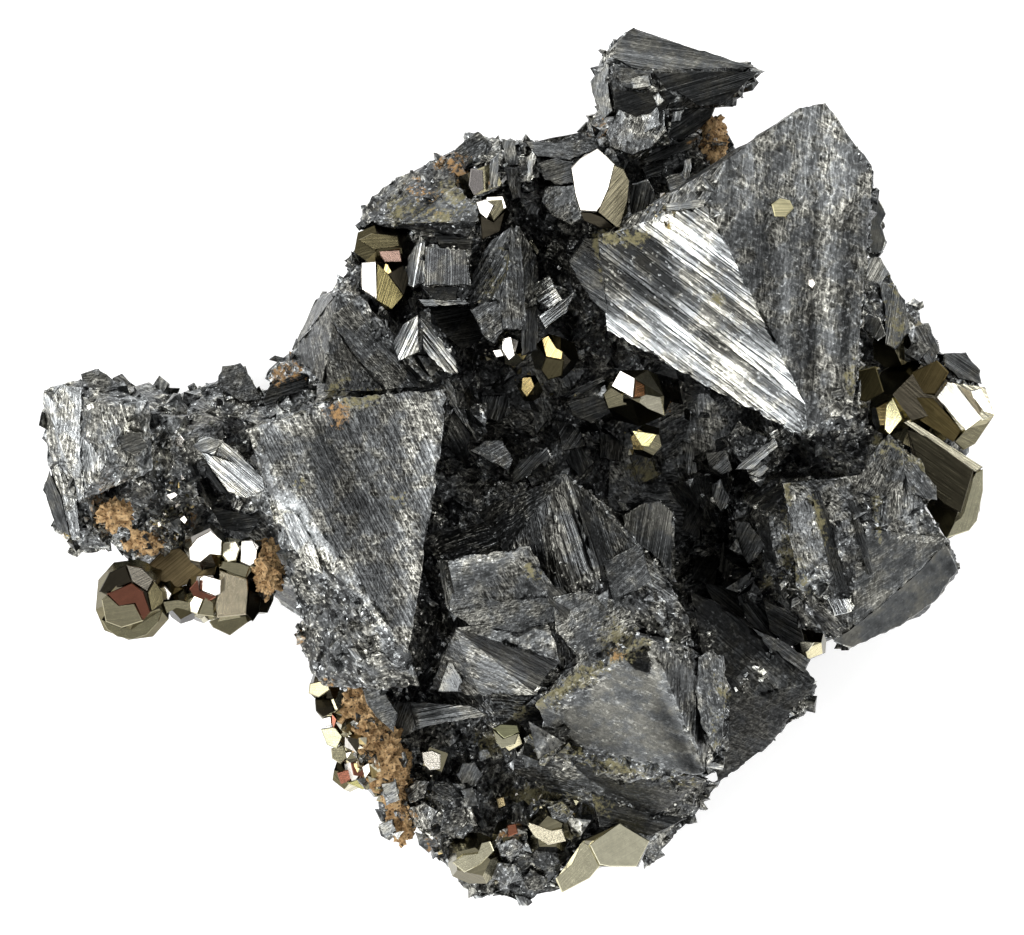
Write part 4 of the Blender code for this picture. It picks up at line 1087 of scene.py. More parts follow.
def face_blocks(name, faces, tree, finish, tinted=False):
    """The faces with a worn edge round each and a body going down into the rock, as one mesh."""
    points, polygons, finishes, facet_of, tints = [], [], [], [], []
    chance = random.Random(5)
    for face in faces:
        top = placed(face, tree)
        area = sum(a.x * b.y - b.x * a.y for a, b in zip(top, top[1:] + top[:1]))
        if area < 0:
            top.reverse()
        if not tinted:
            top = chipped(top, chance)
        count = len(top)
        centre = sum(top, Vector()) / count
        reach = max((p - centre).length for p in top)
        inner = [p.lerp(centre, min(0.3, CHAMFER / reach * 1.4)) for p in top]
        rim = [p - Vector((0, 0, CHAMFER)) for p in top]
        narrowing = 0.97 if tinted else 0.8
        foot = [Vector((*centre.lerp(p, narrowing).xy, p.z - face.depth)) for p in top]
        start = len(points)
        points += inner + rim + foot
        cosine, sine = math.cos(face.turn), math.sin(face.turn)
        normal = Vector((cosine * face.steep, sine * face.steep, 1.0)).normalized()
        tone = 0.5 if tinted else face.tone
        number = len(finishes)
        angle = face.angle if face.angle is not None else chance.uniform(0, 180)
        along, across = line_frame(normal, angle)
        # a steel face's worn rim is painted lighter, a painted highlight, and its sides going down darker,
        # painted shade
        for looks in (
            FacetFinish(tone, None, face.lined, face.gloss, face.rough),
            FacetFinish(tone * 1.25, None, 0.1, face.gloss, 0.3),
            FacetFinish(tone * 0.55, None, 0.4, 0.4, 0.6),
        ):
            finishes.append((looks, along, across * LINES_FINER))
        tints += [face.tone] * 3
        rings = [[start + ring * count + i for i in range(count)] for ring in range(3)]
        polygons.append(rings[0])
        facet_of.append(number)
        for i in range(count):
            j = (i + 1) % count
            for ring, (above, below) in enumerate(zip(rings, rings[1:])):
                polygons.append([above[i], below[i], below[j], above[j]])
                facet_of.append(number + 1 + ring)
        polygons.append(rings[2][::-1])
        facet_of.append(number + 2)
    mesh = bpy.data.meshes.new(name)
    mesh.from_pydata([p * MM for p in points], [], polygons)
    mesh.update()
    write_facet_finishes(mesh, finishes, facet_of)
    if tinted:
        store_tints(mesh, [tints[number] for number in facet_of])
    else:
        soil_and_painted_light(mesh)
    return shown(name, mesh, finish)


def make_room(obj, faces, tree, bare):
    """Lowers a rough surface under the faces that lie on it, and keeps it bare of small crystals there."""
    mesh = obj.data
    places = mesh_points(mesh)
    for face in faces:
        top = placed(face, tree)
        low = np.min([p[:2] for p in top], axis=0) - 0.2
        high = np.max([p[:2] for p in top], axis=0) + 0.2
        close = np.nonzero(np.all((places[:, :2] > low) & (places[:, :2] < high), axis=1))[0]
        if not len(close):
            continue
        x, y, z = places[close].T
        inside = np.zeros(len(close), bool)
        for a, b in zip(top, top[1:] + top[:1]):
            if a.y != b.y:
                inside ^= ((a.y > y) != (b.y > y)) & (x < (b.x - a.x) * (y - a.y) / (b.y - a.y) + a.x)
        level = sum(p.z for p in top) / len(top)
        centre = sum(top, Vector()) / len(top)
        leaning = (x - centre.x) * math.cos(face.turn) + (y - centre.y) * math.sin(face.turn)
        plane = level - leaning * face.steep
        under = inside & (z > plane - HOLD_BACK) & (z < plane + 3.2)
        bare.update(close[inside & (z > plane - 1.5) & (z < plane + 3.2)].tolist())
        places[close[under], 2] = plane[under] - HOLD_BACK
    mesh.vertices.foreach_set("co", (places * MM).ravel())
    mesh.update()


# The tones hold painted light: faces that lean towards the lamps are lighter.
STEEL_FACES = [
    # upright blades and slopes along the top edge
    Face([(452, 152), (466, 138), (478, 131), (488, 140), (484, 158), (468, 168)], 0.06, (120, 14), 30, 0.4,
         rise=-0.3, depth=6, rough=0.5),
    Face([(488, 190), (491, 160), (500, 152), (498, 188)], 0.192, (180, 24), 80, 0.9, rise=1.0),
    Face([(501, 138), (515, 140), (519, 164), (505, 166)], 0.12, (180, 15), 80, 0.5, rise=0.8),
    Face([(504, 168), (520, 166), (522, 196), (512, 200)], 0.07, (0, 20), 85, 0.4, rise=0.4, rough=0.3),
    Face([(526, 181), (527, 158), (532, 151), (536, 158), (530, 183)], 0.31, (180, 24), 80, 0.8, rise=1.2),
    Face([(538, 164), (556, 158), (572, 162), (581, 180), (560, 186), (545, 180)], 0.05, (90, 15), 20, 0.4),
    Face([(524, 141), (560, 143), (596, 136), (600, 148), (570, 160), (536, 156)], 0.08, (80, 25), -5, 0.3,
         rough=0.3),
    Face([(545, 186), (578, 184), (588, 214), (572, 226), (553, 216), (541, 202)], 0.12, (200, 16), 40, 0.2,
         rough=0.3),
    Face([(524, 206), (533, 202), (540, 208), (537, 215), (527, 215)], 0.176, (180, 20), rise=0.7),
    # the notched triangular crystal
    Face([(512, 226), (491, 241), (476, 266), (466, 299), (470, 304), (486, 300), (505, 286)], 0.11,
         (200, 22), 56, 0.6, rise=1.0, depth=4, rough=0.3),
    Face([(512, 226), (521, 241), (525, 300), (527, 331), (503, 330), (498, 300), (505, 286)], 0.07,
         (350, 20), -82, 0.5, rise=1.0, depth=4, rough=0.5),
    Face([(486, 301), (500, 300), (503, 331), (494, 344), (484, 338), (470, 310)], 0.08, (250, 20), 40, 0.4,
         rough=0.5),
    # the stepped block below the ledge
    Face([(426, 247), (466, 251), (471, 286), (424, 286)], 0.10, (190, 10), 88, 0.1, 0.24, 1.0, 3, 0.02),
    Face([(423, 288), (460, 287), (457, 300), (436, 301)], 0.035, (270, 12), 0, 0.2, 0.25, 0.6),
    Face([(418, 299), (464, 298), (470, 304), (424, 307)], 0.16, (180, 20), 0, 0.3, rise=1.0),
    Face([(404, 286), (408, 258), (414, 246), (425, 241), (426, 282), (413, 288)], 0.211, (182, 24), 78, 1.0),
    Face([(432, 232), (474, 240), (472, 250), (440, 246)], 0.05, (270, 20), 0, 0.5),
    # the bright-ridged tetrahedron
    Face([(418, 316), (403, 325), (391, 345), (399, 362), (420, 352)], 0.248, (186, 24), 60, 1.0, rise=1.0),
    Face([(420, 317), (428, 322), (456, 362), (459, 373), (445, 373), (424, 351)], 0.223, (178, 22), -48, 1.0,
         rise=1.2),
    Face([(430, 308), (470, 306), (484, 336), (462, 352), (436, 326)], 0.03, (0, 20), 10, 0.4, rise=-0.6),
    # the silver crystal with two faces
    Face([(529, 286), (549, 276), (562, 300), (549, 309), (538, 303)], 0.36, (186, 24), 30, 0.5, 0.22, 1.0),
    Face([(549, 309), (562, 300), (575, 292), (567, 312), (545, 329), (536, 316)], 0.34, (196, 26), 36, 0.7,
         0.22, 0.9),
    Face([(520, 309), (538, 304), (538, 350), (521, 356)], 0.045, (0, 25), 88, 0.6),
    # blades and small crystals in the recess
    Face([(443, 378), (450, 377), (469, 410), (482, 438), (477, 442), (467, 428), (449, 404)], 0.192,
         (182, 24), -58, 0.8, rise=1.2),
    Face([(453, 410), (470, 434), (468, 470), (443, 442)], 0.04, (330, 20), -60, 0.4, rise=0.3),
    Face([(481, 396), (507, 393), (512, 412), (499, 423), (484, 418)], 0.14, (190, 18), 70, 0.7, rise=0.8),
    Face([(484, 440), (503, 440), (513, 459), (508, 471), (470, 451)], 0.085, (60, 12), 30, 0.2, 0.22, 0.8),
    Face([(512, 474), (519, 460), (547, 447), (552, 456), (527, 475), (513, 485)], 0.192, (176, 22), 42, 0.8,
         rise=1.0),
    Face([(558, 397), (580, 386), (612, 371), (607, 385), (574, 397)], 0.12, (0, 12), 25, 0.9, rise=1.0),
    Face([(566, 401), (601, 394), (612, 412), (592, 424), (572, 416)], 0.05, (300, 15), 20, 0.4),
    Face([(556, 420), (580, 426), (586, 446), (562, 452)], 0.04, (90, 20), 60, 0.4),
    Face([(600, 430), (626, 440), (622, 462), (600, 458)], 0.035, (40, 20), 80, 0.4),
    Face([(574, 440), (596, 462), (580, 478), (566, 462)], 0.05, (200, 15), 110, 0.5),
    Face([(630, 455), (652, 452), (660, 476), (640, 486)], 0.03, (160, 20), 60, 0.4),
    Face([(684, 440), (694, 444), (699, 474), (690, 476)], 0.16, (180, 24), 80, 0.7, rise=0.6),
    Face([(706, 452), (728, 448), (734, 470), (714, 480)], 0.09, (160, 16), 40, 0.5),
    Face([(735, 470), (746, 458), (774, 438), (778, 446), (752, 470)], 0.176, (190, 18), 35, 0.8, rise=0.9),
    Face([(748, 474), (764, 462), (770, 468), (760, 478)], 0.186, (180, 22), 30, 0.5, rise=1.0),
    Face([(712, 484), (722, 478), (732, 500), (722, 512), (712, 500)], 0.12, (180, 20), 70, 0.7),
    Face([(736, 520), (750, 522), (768, 546), (750, 566), (738, 548)], 0.06, (170, 20), 60, 0.4),
    Face([(690, 500), (706, 510), (700, 540), (682, 530)], 0.03, (10, 20), 60, 0.4),
    Face([(700, 548), (722, 560), (716, 590), (692, 580)], 0.03, (80, 25), 60, 0.4),
    Face([(724, 540), (736, 560), (730, 588), (720, 570)], 0.07, (180, 25), 80, 0.7),
    # between the top tetrahedron and the largest one
    Face([(632, 184), (648, 180), (660, 201), (655, 228), (641, 232), (630, 212)], 0.12, (186, 18), 74, 0.8),
    Face([(662, 205), (704, 201), (702, 209), (666, 213)], 0.18, (180, 18), 5, 0.5, rise=0.8),
    Face([(684, 160), (692, 157), (690, 179), (683, 181)], 0.248, (180, 24), 80, 0.5, rise=1.0),
    Face([(664, 178), (682, 172), (690, 192), (672, 200)], 0.1, (190, 16), 20, 0.7),
    Face([(640, 166), (664, 160), (662, 176), (646, 180)], 0.035, (20, 16), 20, 0.5),
    # the top tetrahedron's faces
    Face([(611, 58), (619, 40), (632, 29), (648, 36), (704, 52), (758, 69), (720, 70), (652, 72), (630, 68)],
         0.06,
         (90, 14), -10, 0.4, 0.42, 0.5, 5),
    Face([(653, 74), (720, 72), (757, 73), (738, 92), (718, 106), (700, 108), (676, 92), (664, 90)], 0.035,
         (300, 16), 15, 0.5, 0.4, 0.6, 5),
    Face([(610, 60), (590, 82), (594, 98), (602, 122), (612, 112), (608, 86)], 0.10, (184, 26), 80, 0.3,
         rise=0.4, depth=5),
    Face([(613, 66), (650, 74), (653, 86), (640, 92), (622, 88)], 0.06, (200, 14), 5, 0.3, rise=0.5),
    Face([(630, 79), (648, 77), (650, 88), (632, 91)], 0.12, (186, 18), 5, 0.3, rise=0.9),
    Face([(614, 90), (640, 94), (668, 92), (676, 98), (662, 112), (636, 118), (614, 110)], 0.02, (270, 25), 20,
         0.4, rise=0.3),
    Face([(634, 100), (640, 97), (644, 104), (638, 107)], 0.3, (184, 24), 40, 0.3, rise=0.7, depth=1.5),
    Face([(652, 98), (658, 94), (664, 102), (657, 108)], 0.2, (184, 24), 80, 0.3, rise=0.7, depth=1.5),
    Face([(620, 104), (640, 111), (663, 108), (666, 132), (652, 148), (632, 156), (610, 148), (606, 134)], 0.13,
         (186, 20), 62, 0.3, 0.26, 1.0, 4, 0.6),
    Face([(638, 112), (657, 108), (660, 126), (644, 134)], 0.2, (184, 24), 62, 0.4, 0.24, 1.3, 2, 0.6),
    Face([(606, 136), (620, 128), (634, 134), (628, 148), (612, 150)], 0.16, (190, 20), 40, 0.3, rise=1.3,
         rough=0.5),
    Face([(668, 110), (700, 108), (716, 106), (711, 118), (696, 131), (680, 140), (669, 139)], 0.05,
         (330, 20), 30, 0.6, rise=0.6, depth=3),
    Face([(672, 112), (684, 110), (680, 122), (670, 124)], 0.16, (186, 20), 80, 0.4, rise=0.9, depth=1.5),
    Face([(652, 150), (680, 142), (700, 134), (690, 150), (660, 160), (642, 163)], 0.06, (300, 20), 25, 0.6),
    # the dark faces left of the recess
    Face([(330, 318), (352, 300), (372, 330), (426, 388), (386, 390), (352, 352)], 0.075, (20, 20), -45, 0.5,
         rise=0.5, rough=0.4),
    Face([(324, 392), (333, 322), (352, 354), (384, 391)], 0.03, (200, 20), -70, 0.3, rise=0.3, rough=0.3),
    # the arm
    Face([(262, 401), (270, 385), (300, 372), (311, 377), (305, 391), (279, 397), (269, 412)], 0.012,
         (60, 18), 20, 0.3, 0.3, 0.9, 4),
    Face([(215, 386), (222, 366), (240, 363), (250, 377), (262, 400), (240, 402)], 0.04, (70, 20), 20, 0.2,
         rough=0.5),
    Face([(80, 374), (96, 369), (110, 377), (125, 387), (105, 393), (82, 386)], 0.08, (90, 20), 10, 0.3,
         rough=0.5),
    Face([(193, 446), (203, 436), (224, 441), (214, 456), (200, 452)], 0.208, (186, 20), 20, 0.9, rise=0.8),
    Face([(201, 452), (216, 456), (236, 462), (266, 479), (266, 489), (246, 498), (228, 492), (212, 471)],
         0.285, (184, 25), -34, 0.9, 0.24, 0.9),
    Face([(222, 441), (236, 450), (262, 476), (252, 474), (234, 461), (217, 455)], 0.16, (176, 15), -38, 0.9,
         rise=1.0),
    Face([(206, 462), (214, 474), (228, 494), (218, 492), (204, 474)], 0.04, (240, 24), -60, 0.4),
    Face([(120, 435), (140, 431), (149, 447), (136, 456), (121, 450)], 0.09, (120, 14), 20, 0.5),
    Face([(208, 506), (234, 512), (262, 516), (250, 534), (222, 530)], 0.05, (60, 14), 10, 0.4),
    Face([(41, 490), (48, 470), (60, 500), (68, 536), (56, 530)], 0.06, (200, 34), -70, 0.6),
    Face([(50, 470), (58, 462), (76, 498), (79, 540), (71, 540), (61, 500)], 0.27, (184, 26), -74, 0.6,
         0.24, 0.8, rough=0.45),
    Face([(62, 384), (82, 388), (80, 440), (84, 500), (68, 470), (56, 430), (52, 396)], 0.285, (184, 26), 84,
         0.5,
         0.24, 0.5, rough=0.5),
    # on the broad face
    Face([(281, 514), (294, 506), (314, 540), (324, 574), (308, 566), (290, 542)], 0.13, (184, 22), -62, 0.6,
         rise=0.1, depth=3, rough=0.4),
    # the blocks in the middle
    Face([(452, 592), (500, 600), (552, 596), (560, 618), (520, 632), (470, 624), (450, 610)], 0.085, (270,
         12), 10,
         0.3, rise=-0.1, depth=6, rough=0.45),
    Face([(552, 596), (580, 590), (618, 600), (640, 628), (612, 650), (580, 656), (556, 632)], 0.10, (300,
         10), 30,
         0.2, rise=0.2, depth=6, rough=0.6),
    Face([(556, 492), (566, 498), (581, 540), (589, 575), (578, 566), (566, 530)], 0.08, (184, 16), -70, 0.8,
         0.26, 0.5),
    Face([(602, 562), (640, 542), (652, 580), (612, 602)], 0.06, (20, 14), 40, 0.3, 0.26, 0.4),
    Face([(622, 516), (640, 505), (660, 500), (672, 512), (671, 580), (660, 560), (641, 546), (626, 536)],
         0.09, (170, 12), 80, 0.4, 0.4, 0.8, 4),
    Face([(618, 502), (626, 503), (631, 510), (624, 512)], 0.496, (182, 26), rise=1.4, depth=1.5),
    Face([(450, 655), (463, 681), (458, 691), (438, 691)], 0.09, (184, 22), -60, 0.1, 0.2, 0.6),
    Face([(438, 560), (447, 562), (459, 612), (455, 622), (447, 608)], 0.18, (182, 26), -76, 0.5, rise=0.5),
    Face([(546, 584), (562, 586), (576, 604), (566, 618), (548, 602)], 0.05, (30, 16), -40, 0.5),
    # the peak
    Face([(621, 654), (645, 646), (650, 672), (634, 668)], 0.012, (20, 12), 0, 0.2, 0.3, 0.3),
    Face([(697, 656), (710, 648), (722, 660), (725, 690), (722, 735), (713, 750), (700, 722), (694, 690)],
         0.13, (350, 22), -80, 0.2, 0.34, 0.4, 4, 0.4),
    # dark crystals between the lower slope and the crystal at the right
    Face([(706, 584), (735, 588), (756, 604), (744, 622), (716, 608)], 0.03, (60, 18), -40, 0.4, rise=-0.8,
         depth=7),
    Face([(738, 596), (768, 598), (792, 622), (776, 642), (748, 624)], 0.045, (20, 16), -50, 0.4, rise=-0.6,
         depth=7),
    Face([(764, 600), (800, 614), (806, 642), (788, 650), (770, 630)], 0.035, (330, 20), -30, 0.5, rise=-0.6,
         depth=7),
    Face([(752, 628), (780, 640), (812, 660), (806, 674), (770, 650)], 0.06, (300, 16), -38, 0.3, rise=-0.3,
         depth=6),
    # the largest crystal's dull left end
    Face([(568, 262), (584, 238), (606, 236), (616, 262), (612, 320), (590, 300)], 0.10, (184, 18), -31, 0.5,
         rise=0.2, depth=6),
    # the lobes and blades at the right rim
    Face([(866, 195), (877, 196), (886, 214), (880, 225), (886, 240), (882, 252), (872, 254), (864, 240)],
         0.2, (180, 10), 80, 0.1, 0.36, 1.4, 5, 0.05),
    Face([(861, 258), (880, 258), (888, 272), (880, 285), (862, 280)], 0.1, (20, 16), 60, 0.3),
    Face([(862, 311), (880, 318), (886, 335), (878, 341), (866, 330)], 0.17, (180, 14), 60, 0.3, rise=0.8),
    Face([(879, 282), (895, 284), (906, 300), (911, 330), (896, 350), (886, 344), (886, 310)], 0.08, (0, 20),
         80, 0.5),
    Face([(915, 326), (930, 322), (941, 350), (931, 371), (918, 350)], 0.1, (20, 24), -60, 0.8),
    Face([(905, 346), (912, 350), (912, 362), (906, 361)], 0.211, (180, 22), rise=1.0),
    Face([(945, 353), (968, 352), (982, 370), (984, 384), (960, 378), (946, 366)], 0.11, (40, 24), -30, 0.9),
    # the crystal at the lower right
    Face([(887, 433), (869, 455), (850, 491), (880, 500), (904, 478), (901, 450)], 0.06, (186, 14), 60, 0.4,
         rise=0.5, depth=4, rough=0.4),
    Face([(889, 434), (902, 450), (935, 486), (936, 500), (906, 494), (905, 478)], 0.08, (10, 18), -52, 0.5,
         rise=0.4, depth=4, rough=0.4),
    Face([(810, 492), (818, 490), (832, 530), (846, 590), (838, 594), (822, 545)], 0.02, (0, 16), -72, 0.5,
         rise=0.1),
    Face([(846, 498), (852, 500), (864, 535), (873, 572), (866, 576), (856, 540)], 0.02, (0, 16), -70, 0.5,
         rise=0.1),
    Face([(825, 597), (850, 598), (850, 611), (833, 616)], 0.372, (186, 24), -60, 1.0, 0.2, 0.9, 2),
    Face([(945, 541), (958, 570), (936, 600), (900, 626), (851, 648), (833, 641), (880, 606), (925, 566)],
         0.13, (320, 24), 38, 0.1, 0.3, 0.5, 4, 0.1),
    # the foot
    Face([(362, 688), (384, 690), (398, 712), (394, 732), (376, 716), (366, 702)], 0.08, (190, 12), 20, 0.3,
         rise=0.6, depth=4),
    Face([(384, 700), (410, 704), (416, 730), (400, 740), (390, 722)], 0.07, (170, 12), 70, 0.3, rise=0.7,
         depth=4),
    Face([(404, 790), (416, 780), (430, 782), (424, 798), (410, 804)], 0.08, (160, 22), 40, 0.2, rise=1.3,
         rough=0.7),
    Face([(434, 782), (452, 784), (462, 798), (446, 806), (430, 798)], 0.05, (70, 22), -30, 0.2, rise=1.4,
         rough=0.7),
    Face([(406, 810), (424, 802), (438, 812), (430, 830), (414, 828)], 0.11, (200, 20), 60, 0.2, rise=1.4,
         rough=0.7),
    Face([(444, 812), (464, 804), (468, 824), (454, 838), (440, 832)], 0.05, (330, 24), 20, 0.2, rise=1.1,
         rough=0.7),
    Face([(414, 834), (432, 838), (440, 850), (428, 856), (418, 848)], 0.08, (250, 24), 0, 0.2, rise=0.9,
         rough=0.7),
    Face([(496, 846), (514, 838), (526, 848), (514, 858), (500, 858)], 0.10, (170, 22), 30, 0.2, rise=1.1,
         rough=0.7),
    Face([(536, 850), (556, 852), (562, 866), (544, 872), (528, 862)], 0.06, (20, 24), -40, 0.2, rise=1.1,
         rough=0.7),
    Face([(496, 864), (516, 866), (522, 882), (506, 888), (490, 880)], 0.11, (220, 24), 60, 0.2, rise=1.1,
         rough=0.7),
    Face([(530, 870), (548, 880), (544, 892), (528, 892), (522, 882)], 0.05, (290, 26), 20, 0.2, rise=0.9,
         rough=0.7),
    Face([(546, 808), (562, 802), (574, 812), (566, 824), (552, 820)], 0.09, (150, 20), 30, 0.2, rise=0.9,
         rough=0.7),
    Face([(455, 776), (462, 764), (475, 763), (483, 775), (475, 788), (462, 787)], 0.16, (190, 14), 60, 0.4,
         rise=1.2),
    Face([(378, 826), (392, 820), (396, 832), (385, 839)], 0.16, (200, 18), 30, 0.3, rise=0.6),
    Face([(390, 834), (404, 832), (398, 841)], 0.372, (184, 24), rise=0.7, depth=1.5),
    Face([(380, 784), (396, 780), (400, 800), (386, 806)], 0.14, (184, 16), 30, 0.3),
    Face([(590, 792), (640, 812), (688, 820), (652, 838), (600, 828)], 0.03, (300, 24), -20, 0.6, rise=0.3),
    Face([(396, 702), (470, 706), (488, 716), (430, 726), (384, 742), (372, 720)], 0.13, (190, 14), 10, 0.4,
         rise=0.4),
]

